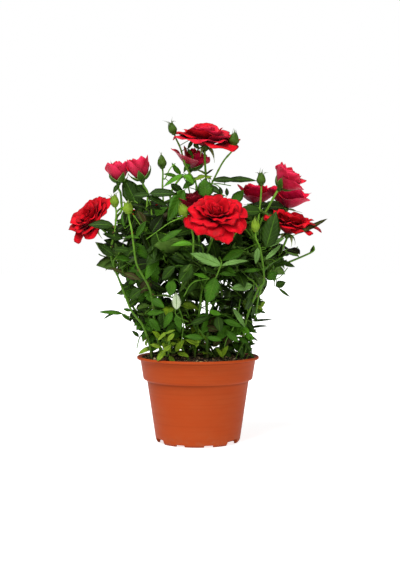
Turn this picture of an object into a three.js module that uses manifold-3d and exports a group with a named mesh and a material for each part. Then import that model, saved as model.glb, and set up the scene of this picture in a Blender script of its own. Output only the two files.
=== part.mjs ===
// A potted rose bush: a moulded nursery pot and its soil, the canes, the masses of leaves, and the blooms and buds
// on their stalks. Millimetres, +Z up, the front towards -Y. The origin is the middle of the pot's flat underside.
import * as THREE from "three";
import { LoftGeometry } from "three/addons/geometries/LoftGeometry.js";
import { mergeVertices } from "three/addons/utils/BufferGeometryUtils.js";
import Module from "manifold-3d";

const wasm = await Module();
wasm.setup();

// ---------------------------------------------------------------- driving dimensions

const GAP = 0.35; // air left between neighbouring pieces

// The pot is round, so its sizes are radii, and heights above the surface that it stands on.
const POT = {
  height: 84,
  lipRadius: 60,
  lipHeight: 2.8,
  lipRounding: 0.6,
  collarTopRadius: 56.6,
  collarBottomRadius: 53.6,
  collarBottom: 62,
  stepHeight: 2,
  bodyTopRadius: 50,
  bodyBottomRadius: 41.4,
  footHeight: 2,
  footRadius: 39.5,
  footWidth: 1.8,
  discRadius: 22,
  wall: 1.6,
  sides: 42,
  facing: -5, // degrees that its moulded pattern is turned
};
const ANNULUS_TOP = POT.footHeight + POT.wall; // the inner floor, round the sunk disc in the middle

// The base repeats every third of a turn: one deep drainage notch, and a shallow gap in the foot ring either side.
const BASE_REPEATS = 3;
const NOTCH = { width: 17, top: 4.8, from: 35.5, to: 43.4, turns: [60] };
const FOOT_GAP = { width: 9.5, top: 1.9, from: 36.5, to: 42.4, turns: [-20, 20] };

// The soil's surface is highest in the middle, and a little uneven.
const SOIL = { edge: 80, crown: 83, uneven: 1.1, rings: [1, 0.72, 0.36, 0] };

// Thickness of the growth, as radii, and how finely it is divided.
const CANE = { root: 2.3, top: 1.6, sides: 6, steps: 5 };
const STALK = { root: 1.5, top: 1.2, sides: 5, steps: 4 };

// Canes that stand clear of the leaves all the way up: the places that each passes through, from the soil.
const FREE_CANES = {
  cane_left_outer: [[-45, 0, 80], [-52, -7, 114], [-76, -18, 161], [-83, -24, 190]],
  cane_left_front: [[-34, -14, 80], [-41, -36, 120], [-52, -52, 166], [-60, -50, 199]],
  cane_right_front: [[41, -12, 80], [48, -34, 120], [61, -48, 160], [56, -48, 189]],
};

// Canes that soon run up into the leaves: where each stands in the soil, and where it is heading.
const INNER_CANES = {
  cane_left: { root: [-24, -8], to: [-50, -12, 190] },
  cane_left_back: { root: [-22, 20], to: [-52, 62, 184] },
  cane_centre: { root: [-4, 4], to: [0, 6, 210] },
  cane_front: { root: [9, -22], to: [6, -40, 190] },
  cane_right: { root: [30, 4], to: [56, 2, 190] },
  cane_right_back: { root: [24, 24], to: [50, 62, 184] },
};

// The masses of leaves: centre, half sizes, and a seed for the uneven surface.
const MASSES = {
  foliage_top: { at: [-2, 8, 246], half: [23, 22, 14], seed: 1 },
  foliage_high_left: { at: [-48, 8, 225], half: [32, 28, 23], seed: 2 },
  foliage_high_right: { at: [48, 8, 219], half: [26, 28, 20], seed: 3 },
  foliage_left: { at: [-72, -4, 186], half: [32, 34, 22], seed: 4 },
  foliage_right: { at: [76, 0, 183], half: [31, 34, 22], seed: 5 },
  foliage_core_left: { at: [-32, -14, 180], half: [32, 40, 34], seed: 6 },
  foliage_front: { at: [4, -42, 172], half: [31, 36, 31], seed: 7 },
  foliage_core_right: { at: [40, -14, 168], half: [32, 40, 32], seed: 8 },
  foliage_lower_left: { at: [-38, -4, 121], half: [22, 30, 26], seed: 9 },
  foliage_lower_front: { at: [-2, -26, 120], half: [19, 26, 25], seed: 10 },
  foliage_lower_right: { at: [38, 0, 119], half: [22, 30, 26], seed: 11 },
  foliage_back_left: { at: [-46, 56, 182], half: [44, 42, 44], seed: 12 },
  foliage_back_right: { at: [46, 56, 178], half: [44, 42, 44], seed: 13 },
  foliage_back_low: { at: [0, 38, 120], half: [42, 30, 27], seed: 14 },
};
const MASS = {
  uneven: 0.11, // height of the bumps, as a share of the size
  waves: 4,
  floor: 92, // no leaves lower than this
  detail: 2,
  largeDetail: 3,
  largeFrom: 36, // half size from which a mass is divided more finely
};

// Half sections of a flower, from its foot to its middle: share of its radius, and share of its depth.
const OPEN = {
  section: [[0, 0], [0.13, 0.02], [0.2, 0.22], [0.66, 0.34], [1, 0.58], [0.94, 0.8], [0.55, 1], [0, 1]],
  depth: 0.7, // depth of the flower, as a share of its radius
};
const CUP = {
  section: [[0, 0], [0.3, 0.03], [0.72, 0.26], [0.95, 0.58], [1, 0.86], [0.78, 1], [0, 0.94]],
  depth: 1.65,
};

// The blooms: foot of the flower, the way it faces, its radius, and what its stalk grows from. Those with no stalk
// sit down among the leaves.
const BLOOMS = {
  bloom_top: { form: OPEN, foot: [6, 13, 287], faces: [0.14, -0.3, 0.94], radius: 31, from: "foliage_top" },
  bloom_rear_top: { form: CUP, foot: [-19, 24, 268], faces: [0.6, 0.35, 0.72], radius: 16, from: "foliage_top" },
  bloom_pair_outer: { form: CUP, foot: [-79, 5, 254], faces: [-0.12, 0, 1], radius: 13, from: "foliage_high_left" },
  bloom_pair_inner: { form: CUP, foot: [-52, -4, 252], faces: [-0.2, 0, 1], radius: 13, from: "foliage_high_left" },
  bloom_left: { form: OPEN, foot: [-97, -9, 210], faces: [-0.66, -0.48, 0.58], radius: 27, from: "foliage_left" },
  bloom_centre: { form: OPEN, foot: [17, -49, 214], faces: [0, -0.74, 0.67], radius: 31, from: "foliage_front" },
  bloom_behind: { form: CUP, foot: [-7, -21, 228], faces: [-0.2, -0.1, 0.97], radius: 13, from: "foliage_front" },
  bloom_right_high: { form: CUP, foot: [79, -9, 247], faces: [0.46, 0, 0.88], radius: 17, from: "foliage_high_right" },
  bloom_right_inner: { form: CUP, foot: [58, 40, 234], faces: [-0.32, 0.1, 0.94], radius: 16 },
  bloom_right_outer: { form: CUP, foot: [88, 23, 231], faces: [0.25, 0.1, 0.96], radius: 17, from: "foliage_right" },
  bloom_right_low: { form: OPEN, foot: [86, -15, 203], faces: [0.3, -0.34, 0.89], radius: 27 },
  bloom_back_left: { form: OPEN, foot: [-50, 90, 213], faces: [-0.3, 0.66, 0.69], radius: 26 },
  bloom_back_right: { form: OPEN, foot: [54, 86, 203], faces: [0.35, 0.62, 0.7], radius: 25 },
};
const RIM = { sides: 12, lobes: 5, wave: 0.07 }; // the rim waves in and out where the outer petals part

// The buds, each one solid with its stalk: foot of the bud, the way it points, and what its stalk grows from.
const BUDS = {
  bud_top_left: { foot: [-22, 5, 301], points: [-0.3, 0, 0.95], from: "foliage_top" },
  bud_top_right: { foot: [33, -6, 291], points: [0.3, -0.1, 0.95], from: "foliage_top" },
  bud_upper_left: { foot: [-35, 10, 268], points: [-0.05, 0, 1], from: "foliage_high_left" },
  bud_upper_right: { foot: [61, -15, 251], points: [0.02, 0, 1], from: "foliage_high_right" },
  bud_left_outer: { foot: [-80, -25, 231], points: [-0.1, 0, 1], from: "cane_left_outer" },
  bud_left_front: { foot: [-65, -46, 223], points: [-0.1, -0.1, 1], from: "cane_left_front" },
  bud_centre: { foot: [-13, -52, 221], points: [-0.3, -0.1, 0.95], from: "foliage_front" },
  bud_right_front: { foot: [53, -48, 205], points: [-0.05, -0.1, 1], from: "cane_right_front" },
};
// How a bud swells and closes: share of its length, and share of its radius.
const BUD = {
  radius: 4.7,
  length: 15,
  section: [[0.12, 0.62], [0.32, 1], [0.55, 0.8], [0.8, 0.3], [1, 0.08]],
};

// Leaves that reach out alone past the masses: foot, tip and width of the blade.
const OUTER_LEAVES = {
  leaf_left_low: { foot: [-60, -9, 124], tip: [-98, -12, 128], width: 11 },
  leaf_right_high: { foot: [99, -10, 200], tip: [131, -11, 219], width: 12 },
  leaf_right_mid: { foot: [98, 2, 178], tip: [115, 2, 190], width: 10 },
};
const BLADE = { thickness: 1.2, widestAt: 0.35, fullness: 0.95, curveSegments: 5 };

// ---------------------------------------------------------------- materials

const finish = (color, roughness) => new THREE.MeshStandardMaterial({ color, roughness, metalness: 0 });
const MATERIALS = {
  pot: finish(0xbd4d26, 0.5),
  soil: finish(0x2b2018, 0.95),
  cane: finish(0x5f7d38, 0.6),
  foliage: finish(0x2f5a22, 0.5),
  petal: finish(0xc81020, 0.55),
  bud: finish(0x6c8a3c, 0.55),
};

// ---------------------------------------------------------------- helpers

const { entries } = Object;
const vector = (coordinates) => new THREE.Vector3(...coordinates);
const facing = (coordinates) => vector(coordinates).normalize();
const UP = new THREE.Vector3(0, 0, 1);

// A geometry whose shared points are merged, as a solid that can be cut.
function solidOf(geometry) {
  const bare = geometry.index ? geometry.toNonIndexed() : geometry.clone();
  bare.deleteAttribute("normal");
  bare.deleteAttribute("uv");
  const merged = mergeVertices(bare, 1e-3);
  const vertProperties = merged.attributes.position.array;
  const triVerts = new Uint32Array(merged.index.array);
  return new wasm.Manifold(new wasm.Mesh({ numProp: 3, vertProperties, triVerts }));
}

// A solid as a geometry again.
function geometryOf(solid) {
  const { numVert, numProp, vertProperties, triVerts } = solid.getMesh();
  const positions = new Float32Array(numVert * 3);
  for (let i = 0; i < numVert; i++) {
    positions.set(vertProperties.subarray(i * numProp, i * numProp + 3), i * 3);
  }
  const geometry = new THREE.BufferGeometry();
  geometry.setAttribute("position", new THREE.BufferAttribute(positions, 3));
  geometry.setIndex(new THREE.BufferAttribute(triVerts, 1));
  geometry.computeVertexNormals();
  return geometry;
}

const cutAll = (solid, cutters) => cutters.reduce((left, cutter) => left.subtract(cutter), solid);

// Of the bodies that the cuts leave, the one that comes nearest to a point.
function nearestBody(solid, cutters, point) {
  const distance = ({ min, max }) => new THREE.Box3(vector(min), vector(max)).distanceToPoint(point);
  const bodies = cutAll(solid, cutters).decompose();
  return bodies.sort((a, b) => distance(a.boundingBox()) - distance(b.boundingBox()))[0];
}

// Rings of points along a curve, square to it, whose radius goes evenly from the root's to the top's.
function ringsAlong(curve, thickness, grow = 0) {
  const frames = curve.computeFrenetFrames(thickness.steps);
  return Array.from({ length: thickness.steps + 1 }, (_, i) => {
    const share = i / thickness.steps;
    const centre = curve.getPointAt(share);
    const radius = THREE.MathUtils.lerp(thickness.root, thickness.top, share) + grow;
    return Array.from({ length: thickness.sides }, (_, k) => {
      const angle = (k / thickness.sides) * 2 * Math.PI;
      return centre
        .clone()
        .addScaledVector(frames.normals[i], Math.cos(angle) * radius)
        .addScaledVector(frames.binormals[i], Math.sin(angle) * radius);
    });
  });
}

const loft = (rings) => solidOf(new LoftGeometry(rings, { capStart: true, capEnd: true }));

// A curve that leaves its root one way and comes to its end another way.
function bend(root, end, leaves, arrives) {
  const reach = root.distanceTo(end) / 3;
  const early = root.clone().addScaledVector(leaves.clone().normalize(), reach);
  const late = end.clone().addScaledVector(arrives, -reach);
  return new THREE.CubicBezierCurve3(root, early, late, end);
}

// ---------------------------------------------------------------- pot and soil

// A round body from its half section, a list of [radius, height].
function turned(section, sides) {
  const round = new THREE.LatheGeometry(section.map(([radius, height]) => new THREE.Vector2(radius, height)), sides);
  return round.rotateX(Math.PI / 2);
}

// The inner face of the pot's wall from its foot up to the collar, moved in by a clearance.
function innerWall(clearance) {
  const thick = POT.wall + clearance;
  return [
    [POT.bodyBottomRadius - thick, ANNULUS_TOP + clearance],
    [POT.bodyTopRadius - thick, POT.collarBottom - POT.stepHeight + clearance],
    [POT.collarBottomRadius - thick, POT.collarBottom + clearance],
  ];
}

// From the middle of the underside, round the outside and over the lip, to the middle of the inner floor.
function potSection() {
  const innerFoot = POT.footRadius - POT.footWidth;
  const lipInner = POT.lipRadius - POT.lipRounding;
  return [
    [0, 0],
    [POT.discRadius, 0],
    [POT.discRadius + POT.footHeight, POT.footHeight],
    [innerFoot, POT.footHeight],
    [innerFoot, 0],
    [POT.footRadius, 0],
    [POT.bodyBottomRadius, POT.footHeight],
    [POT.bodyTopRadius, POT.collarBottom - POT.stepHeight],
    [POT.collarBottomRadius, POT.collarBottom],
    [POT.collarTopRadius, POT.height - POT.lipHeight],
    [lipInner, POT.height - POT.lipHeight],
    [POT.lipRadius, POT.height - POT.lipHeight / 2],
    [lipInner, POT.height],
    [POT.collarTopRadius - POT.wall, POT.height],
    ...innerWall(0).reverse(),
    [POT.discRadius + POT.footHeight, ANNULUS_TOP],
    [POT.discRadius, POT.wall],
    [0, POT.wall],
  ];
}

// Boxes across the wall at the foot, from below the pot up to a height, at the turns round it.
function footCutters({ width, top, from, to, turns }) {
  const drop = 1;
  const cutters = [];
  for (let repeat = 0; repeat < BASE_REPEATS; repeat++) {
    for (const turn of turns) {
      const box = new THREE.BoxGeometry(width, to - from, top + drop);
      box.translate(0, -(from + to) / 2, (top - drop) / 2);
      box.rotateZ(THREE.MathUtils.degToRad(POT.facing + turn + (360 / BASE_REPEATS) * repeat));
      cutters.push(solidOf(box));
    }
  }
  return cutters;
}

function potGeometry() {
  const cutters = [...footCutters(NOTCH), ...footCutters(FOOT_GAP)];
  return geometryOf(cutAll(solidOf(turned(potSection(), POT.sides)), cutters));
}

// Soil fills the pot, clear of its wall, and only its top face is uneven.
function soilGeometry() {
  const shareUp = (SOIL.edge - POT.collarBottom) / (POT.height - POT.collarBottom);
  const wallThere = THREE.MathUtils.lerp(POT.collarBottomRadius, POT.collarTopRadius, shareUp);
  const edgeRadius = wallThere - POT.wall - GAP;
  const heightAt = (share) => THREE.MathUtils.lerp(SOIL.crown, SOIL.edge, share ** 2);
  const section = [
    [0, POT.wall + GAP],
    [POT.discRadius - GAP, POT.wall + GAP],
    [POT.discRadius + POT.footHeight - GAP, ANNULUS_TOP + GAP],
    ...innerWall(GAP),
    ...SOIL.rings.map((share) => [edgeRadius * share, heightAt(share)]),
  ];
  const geometry = turned(section, POT.sides / 2);
  const position = geometry.attributes.position;
  for (let i = 0; i < position.count; i++) {
    const [x, y, z] = [position.getX(i), position.getY(i), position.getZ(i)];
    if (z < SOIL.edge - GAP) continue;
    position.setZ(i, z + SOIL.uneven * Math.sin(x / 4.3 + 1) * Math.cos(y / 5.3 - x / 14));
  }
  return geometry;
}

// ---------------------------------------------------------------- masses of leaves

// Smooth bumps over the directions round a centre: a few waves, whose directions come from the seed.
function bumps(direction, seed) {
  let sum = 0;
  for (let wave = 1; wave <= MASS.waves; wave++) {
    const turn = seed * 2.4 + wave * 1.7;
    const along = facing([Math.cos(turn), Math.sin(turn), Math.sin(turn * 1.3)]);
    sum += Math.sin(direction.dot(along) * (2.5 + wave) + turn) / 2;
  }
  return sum;
}

// How far an ellipsoid reaches from its centre in a direction.
function ellipsoidReach([a, b, c], direction) {
  return 1 / Math.hypot(direction.x / a, direction.y / b, direction.z / c);
}

// How far a mass reaches in a direction: its uneven ellipsoid, down to the floor, and up to a flat plane that parts
// it from each neighbour, nearer to the smaller of the two.
function massReach(name, centre, direction) {
  const { half, seed } = MASSES[name];
  let limit = ellipsoidReach(half, direction) * (1 + MASS.uneven * bumps(direction, seed));
  for (const [otherName, other] of entries(MASSES)) {
    if (otherName === name) continue;
    const apart = vector(other.at).sub(centre);
    const distance = apart.length();
    const towards = apart.normalize();
    const slope = direction.dot(towards);
    if (slope <= 0) continue;
    const mine = ellipsoidReach(half, towards);
    const theirs = ellipsoidReach(other.half, towards);
    limit = Math.min(limit, ((distance * mine) / (mine + theirs) - GAP) / slope);
  }
  return direction.z < 0 ? Math.min(limit, (centre.z - MASS.floor) / -direction.z) : limit;
}

function massSolid(name, grow = 0) {
  const { at, half } = MASSES[name];
  const detail = Math.max(...half) > MASS.largeFrom ? MASS.largeDetail : MASS.detail;
  const ball = new THREE.IcosahedronGeometry(1, detail);
  const position = ball.attributes.position;
  const centre = vector(at);
  const direction = new THREE.Vector3();
  for (let i = 0; i < position.count; i++) {
    direction.fromBufferAttribute(position, i).normalize();
    direction.multiplyScalar(massReach(name, centre, direction) + grow).add(centre);
    position.setXYZ(i, ...direction);
  }
  return solidOf(ball);
}

// ---------------------------------------------------------------- blooms, buds and lone leaves

// A flower turned from its half section, with a waved rim, swollen all round by grow.
function bloomGeometry({ form, foot, faces, radius }, grow = 0) {
  const depth = form.depth * radius;
  const section = form.section.map(([out, up]) => new THREE.Vector2(out * radius, (up - 0.5) * depth));
  const flower = new THREE.LatheGeometry(section, RIM.sides);
  const position = flower.attributes.position;
  for (let i = 0; i < position.count; i++) {
    const [x, y, z] = [position.getX(i), position.getY(i), position.getZ(i)];
    const wave = (RIM.wave * Math.sin(RIM.lobes * Math.atan2(z, x)) * Math.hypot(x, z)) / radius;
    const swell = (1 + wave) * (1 + grow / radius);
    position.setXYZ(i, x * swell, y * (1 + (2 * grow) / depth) + depth / 2, z * swell);
  }
  const turn = new THREE.Quaternion().setFromUnitVectors(new THREE.Vector3(0, 1, 0), facing(faces));
  return flower.applyQuaternion(turn).translate(...foot);
}

// A stalk starts in the middle of a mass, or just above the top of a cane. It sets out a little more upright than
// the straight way to its flower, and comes in along the flower's axis.
function stalkRings(from, end, arrives) {
  const root = from in MASSES ? vector(MASSES[from].at) : vector(FREE_CANES[from].at(-1));
  if (!(from in MASSES)) root.z += CANE.top / 2 + GAP;
  const leaves = end.clone().sub(root).normalize().addScaledVector(UP, 0.6);
  return ringsAlong(bend(root, end, leaves, arrives), STALK);
}

function stalkSolid({ from, foot, faces }) {
  const direction = facing(faces);
  return loft(stalkRings(from, vector(foot).addScaledVector(direction, -GAP), direction));
}

// A bud and its stalk in one loft: the stalk thickens into the bud, which closes at its tip.
function budSolid({ from, foot, points }) {
  const direction = facing(points);
  const start = vector(foot);
  const rings = stalkRings(from, start, direction);
  const outward = rings.at(-1).map((point) => point.clone().sub(start).normalize());
  for (const [along, out] of BUD.section) {
    const centre = start.clone().addScaledVector(direction, along * BUD.length);
    rings.push(outward.map((side) => centre.clone().addScaledVector(side, out * BUD.radius)));
  }
  return loft(rings);
}

// A thin blade in the outline of a leaf, along the line from its foot to its tip.
function bladeSolid({ foot, tip, width }) {
  const along = vector(tip).sub(vector(foot));
  const length = along.length();
  const outline = new THREE.Shape();
  outline.moveTo(0, 0);
  outline.quadraticCurveTo(length * BLADE.widestAt, width * BLADE.fullness, length, 0);
  outline.quadraticCurveTo(length * BLADE.widestAt, -width * BLADE.fullness, 0, 0);
  const { thickness: depth, curveSegments } = BLADE;
  const blade = new THREE.ExtrudeGeometry(outline, { depth, bevelEnabled: false, curveSegments });
  const turn = new THREE.Quaternion().setFromUnitVectors(new THREE.Vector3(1, 0, 0), along.normalize());
  return solidOf(blade.applyQuaternion(turn).translate(...foot));
}

// ---------------------------------------------------------------- assembly

const bush = new THREE.Group();

function add(name, geometry, material) {
  const mesh = new THREE.Mesh(geometry, material);
  mesh.name = name;
  bush.add(mesh);
}

add("pot", potGeometry(), MATERIALS.pot);
add("soil", soilGeometry(), MATERIALS.soil);

const soilCutter = solidOf(soilGeometry().translate(0, 0, GAP));
const massCutters = Object.keys(MASSES).map((name) => massSolid(name, GAP));
const bloomCutters = Object.values(BLOOMS).map((bloom) => solidOf(bloomGeometry(bloom, GAP)));
const freeCane = (places, grow = 0) => loft(ringsAlong(new THREE.CatmullRomCurve3(places.map(vector)), CANE, grow));
const caneCutters = Object.values(FREE_CANES).map((places) => freeCane(places, GAP));

for (const [name, places] of entries(FREE_CANES)) {
  add(name, geometryOf(freeCane(places).subtract(soilCutter)), MATERIALS.cane);
}
for (const [name, { root, to }] of entries(INNER_CANES)) {
  const start = new THREE.Vector3(...root, SOIL.edge - 1);
  const lean = vector(to).sub(start).normalize();
  const whole = loft(ringsAlong(bend(start, vector(to), lean.clone().add(UP), lean), CANE));
  const cutters = [soilCutter, ...massCutters, ...caneCutters];
  add(name, geometryOf(nearestBody(whole, cutters, start)), MATERIALS.cane);
}
for (const [name, bloom] of entries(BLOOMS)) {
  add(name, bloomGeometry(bloom), MATERIALS.petal);
  if (!bloom.from) continue;
  const stalk = nearestBody(stalkSolid(bloom), [...massCutters, ...bloomCutters], vector(bloom.foot));
  add(name.replace("bloom", "stalk"), geometryOf(stalk), MATERIALS.cane);
}
for (const [name, bud] of entries(BUDS)) {
  const free = nearestBody(budSolid(bud), [...massCutters, ...bloomCutters], vector(bud.foot));
  add(name, geometryOf(free), MATERIALS.bud);
}
for (const [name, mass] of entries(MASSES)) {
  const free = nearestBody(massSolid(name), [...bloomCutters, ...caneCutters], vector(mass.at));
  add(name, geometryOf(free), MATERIALS.foliage);
}
for (const [name, leaf] of entries(OUTER_LEAVES)) {
  const cutters = [...massCutters, ...bloomCutters, ...caneCutters];
  add(name, geometryOf(nearestBody(bladeSolid(leaf), cutters, vector(leaf.tip))), MATERIALS.foliage);
}

export default bush;
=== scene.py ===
"""A potted rose bush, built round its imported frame: pot, soil, canes, leaves, blooms and buds.

Lengths are in millimetres and angles in degrees, until a mesh is written in metres. The front faces -Y.
"""

import logging
import math
from dataclasses import dataclass, field
from enum import Enum
from functools import cache
from typing import Iterable, NamedTuple, Sequence

import bpy
import numpy as np
from mathutils import Euler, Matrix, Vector


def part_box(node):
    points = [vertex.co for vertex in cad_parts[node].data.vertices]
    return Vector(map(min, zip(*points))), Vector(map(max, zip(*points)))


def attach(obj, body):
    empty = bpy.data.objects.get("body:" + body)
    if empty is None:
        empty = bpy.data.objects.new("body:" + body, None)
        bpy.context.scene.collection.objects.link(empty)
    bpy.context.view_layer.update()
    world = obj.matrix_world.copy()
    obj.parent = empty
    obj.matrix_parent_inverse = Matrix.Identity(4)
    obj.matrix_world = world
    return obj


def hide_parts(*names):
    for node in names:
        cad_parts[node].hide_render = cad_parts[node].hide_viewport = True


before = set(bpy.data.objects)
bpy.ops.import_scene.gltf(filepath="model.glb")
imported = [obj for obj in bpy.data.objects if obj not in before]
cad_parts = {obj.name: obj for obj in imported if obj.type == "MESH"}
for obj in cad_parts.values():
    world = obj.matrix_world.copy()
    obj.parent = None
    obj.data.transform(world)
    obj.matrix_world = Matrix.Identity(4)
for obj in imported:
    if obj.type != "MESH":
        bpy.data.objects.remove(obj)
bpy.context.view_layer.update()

log = logging.getLogger("rose_bush")

MM = 0.001
GOLDEN_ANGLE = math.pi * (3.0 - math.sqrt(5.0))
UP = np.array([0.0, 0.0, 1.0])
FINE_STEPS = 12

Array = np.ndarray
Pair = tuple[float, float]
Triple = tuple[float, float, float]
Chance = np.random.Generator
Material = bpy.types.Material
Thing = bpy.types.Object
Socket = bpy.types.NodeSocket


# ---- small sums


def unit(vectors: Array) -> Array:
    """Scale vectors along the last axis to length one."""
    vectors = np.asarray(vectors, float)
    return vectors / np.maximum(np.linalg.norm(vectors, axis=-1, keepdims=True), 1e-9)


def lerp(low: Array, high: Array, share: Array) -> Array:
    """Blend evenly from low at share 0 to high at share 1."""
    return low + (high - low) * share


def smoothstep(low: float, high: float, value: Array) -> Array:
    """Rise smoothly from 0 at low to 1 at high, as 3t^2 - 2t^3."""
    t = np.clip((np.asarray(value, float) - low) / (high - low), 0.0, 1.0)
    return t * t * (3.0 - 2.0 * t)


def circle(sides: int) -> Array:
    """Angles of the corners of a circle, in radians from 0."""
    return np.linspace(0.0, 2 * math.pi, sides, endpoint=False)


def way_along(path: Array) -> Array:
    """Distance along a path at each of its points."""
    return np.concatenate(([0.0], np.cumsum(np.linalg.norm(np.diff(path, axis=0), axis=1))))


def between(at: Array, along: Array, rows: Array) -> Array:
    """Rows given at some distances along a path, worked out for other distances."""
    return np.stack([np.interp(at, along, column) for column in rows.T], axis=-1)


def bezier(points: Sequence[Array], steps: int) -> Array:
    """Sample a cubic Bezier curve.

    Formula: the four points weighted by (1-t)^3, 3t(1-t)^2, 3t^2(1-t) and t^3.

    Args:
        points: its four control points.
        steps: number of stretches between samples.

    Returns:
        (steps + 1, 3) points along the curve.
    """
    t = np.linspace(0.0, 1.0, steps + 1)[:, None]
    a, b, c, d = (np.asarray(p, float) for p in points)
    return (1 - t) ** 3 * a + 3 * t * (1 - t) ** 2 * b + 3 * t * t * (1 - t) * c + t**3 * d


def through(places: Sequence[Triple], steps: int) -> Array:
    """Sample a smooth curve through some places, evenly by length.

    Formula: a uniform Catmull-Rom spline, whose tangent at a place is half the way between its neighbours.

    Args:
        places: the places, in order.
        steps: number of stretches between samples.

    Returns:
        (steps + 1, 3) points along the curve.
    """
    p = np.asarray(places, float)
    p = np.vstack((2 * p[0] - p[1], p, 2 * p[-1] - p[-2]))
    fine = []
    t = np.linspace(0.0, 1.0, FINE_STEPS, endpoint=False)[:, None]
    for a, b, c, d in zip(p, p[1:], p[2:], p[3:]):
        square, cube = 2 * a - 5 * b + 4 * c - d, 3 * (b - c) + d - a
        fine.append(0.5 * (2 * b + (c - a) * t + square * t**2 + cube * t**3))
    line = np.vstack((*fine, p[-2][None]))
    along = way_along(line)
    return between(np.linspace(0.0, along[-1], steps + 1), along, line)


# ---- surfaces and meshes


def quads_of(index: Array) -> Array:
    """Quads between neighbouring points of a grid of point numbers.

    Args:
        index: (..., rows, columns) point numbers.

    Returns:
        (n, 4) corners; seen from the side they face, rows run away and columns run to the right.
    """
    low, high = index[..., :-1, :], index[..., 1:, :]
    quads = np.stack((low[..., :-1], low[..., 1:], high[..., 1:], high[..., :-1]), axis=-1)
    return quads.reshape(-1, 4)


def closed(index: Array) -> Array:
    """Point numbers of rings, with each ring's first point once more after its last."""
    return np.concatenate((index, index[..., :1]), axis=-1)


@dataclass
class Skin:
    """Surfaces gathered for one piece: points in mm, faces in groups alike, and a finish for each face."""

    points: list[Array] = field(default_factory=list)
    uv: list[Array] = field(default_factory=list)
    faces: list[Array] = field(default_factory=list)
    finishes: list[Array] = field(default_factory=list)
    count: int = 0

    def add(self, points: Array, faces: Iterable[tuple[Array, Array | int]],
            uv: Array | None = None) -> None:
        """Add one closed surface, or many alike.

        Args:
            points: (..., 3) points in mm.
            faces: pairs of (n, corners) point numbers and their finish numbers.
            uv: (..., 2) surface coordinates of the points, or none.
        """
        flat = np.asarray(points, float).reshape(-1, 3)
        self.points.append(flat)
        self.uv.append(np.zeros((len(flat), 2)) if uv is None else np.asarray(uv, float).reshape(-1, 2))
        for corners, finish in faces:
            self.faces.append(np.asarray(corners) + self.count)
            self.finishes.append(np.broadcast_to(finish, (len(corners),)))
        self.count += len(flat)

    def add_capped(self, rings: Array, ends: Array, finish: int = 0) -> None:
        """Add one closed body of rings, with a fan of triangles round a point at either end.

        Args:
            rings: (rows, sides, 3) points.
            ends: (2, 3) points that close the first and the last ring.
            finish: finish number.
        """
        rows, sides = rings.shape[:2]
        index = closed(np.arange(rows * sides).reshape(rows, sides))
        low, high = np.full(sides, rows * sides), np.full(sides, rows * sides + 1)
        faces = (quads_of(index), np.stack((low, index[0, 1:], index[0, :-1]), axis=1),
                 np.stack((high, index[-1, :-1], index[-1, 1:]), axis=1))
        self.add(np.vstack((rings.reshape(-1, 3), ends)), [(corners, finish) for corners in faces])

    def triangles(self) -> int:
        """Number of triangles that the faces make."""
        return sum(len(f) * (f.shape[1] - 2) for f in self.faces)

    def piece(self, name: str, materials: Sequence[Material], smooth: bool = True) -> Thing:
        """Write the surfaces to a mesh object at the origin.

        Args:
            name: the piece's name.
            materials: its materials, in the order of the finish numbers.
            smooth: whether its faces are shaded smooth.

        Returns:
            The new object, linked to the scene.
        """
        points = np.vstack(self.points) * MM
        corners = np.concatenate([f.ravel() for f in self.faces])
        sizes = np.concatenate([np.full(len(f), f.shape[1]) for f in self.faces])
        starts = np.concatenate(([0], np.cumsum(sizes)[:-1]))
        mesh = bpy.data.meshes.new(name)
        mesh.vertices.add(len(points))
        mesh.vertices.foreach_set("co", points.ravel())
        mesh.loops.add(len(corners))
        mesh.loops.foreach_set("vertex_index", corners.astype(np.int32))
        mesh.polygons.add(len(sizes))
        mesh.polygons.foreach_set("loop_start", starts.astype(np.int32))
        mesh.polygons.foreach_set("material_index", np.concatenate(self.finishes).astype(np.int32))
        mesh.polygons.foreach_set("use_smooth", np.full(len(sizes), smooth))
        layer = mesh.uv_layers.new(name="surface")
        layer.data.foreach_set("uv", np.vstack(self.uv)[corners].ravel())
        mesh.update(calc_edges=True)
        mesh.validate()
        for material in materials:
            mesh.materials.append(material)
        piece = bpy.data.objects.new(name, mesh)
        bpy.context.scene.collection.objects.link(piece)
        log.info("%s: %d triangles", name, self.triangles())
        return piece


def register(piece: Thing, slot: str, *nodes: str) -> Thing:
    """Let a finished piece ride on the part's one body and stand for its nodes, whose frame parts it hides.

    Args:
        piece: the finished piece.
        slot: not used.
        nodes: the nodes that it stands for.

    Returns:
        The same piece.
    """
    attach(piece, "root")
    if nodes:
        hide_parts(*nodes)
    return piece


def node_names(prefix: str) -> list[str]:
    """Names of the frame's nodes that start with a prefix, in order."""
    return sorted(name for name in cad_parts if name.startswith(prefix))


def node_box(name: str) -> tuple[Array, Array]:
    """Centre and half sizes of a node's box, in mm."""
    low, high = (np.array(corner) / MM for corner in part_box(name))
    return (low + high) / 2, (high - low) / 2


def rings_round(paths: Array, radii: Array, sides: int) -> Array:
    """Circles square to paths, each drawn from a side direction that stays the same along its path.

    Args:
        paths: (..., m, 3) points.
        radii: (m,) or (..., m) radii.
        sides: corners of a circle.

    Returns:
        (..., m, sides, 3) points.
    """
    tangent = unit(np.gradient(paths, axis=-2))
    whole = np.abs(paths[..., -1, :] - paths[..., 0, :])
    level = np.eye(3)[np.argmin(whole, axis=-1)][..., None, :]
    first = unit(np.cross(tangent, level))
    second = np.cross(tangent, first)
    turns = circle(sides)[:, None]
    around = first[..., None, :] * np.cos(turns) + second[..., None, :] * np.sin(turns)
    return paths[..., None, :] + around * radii[..., None, None]


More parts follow.
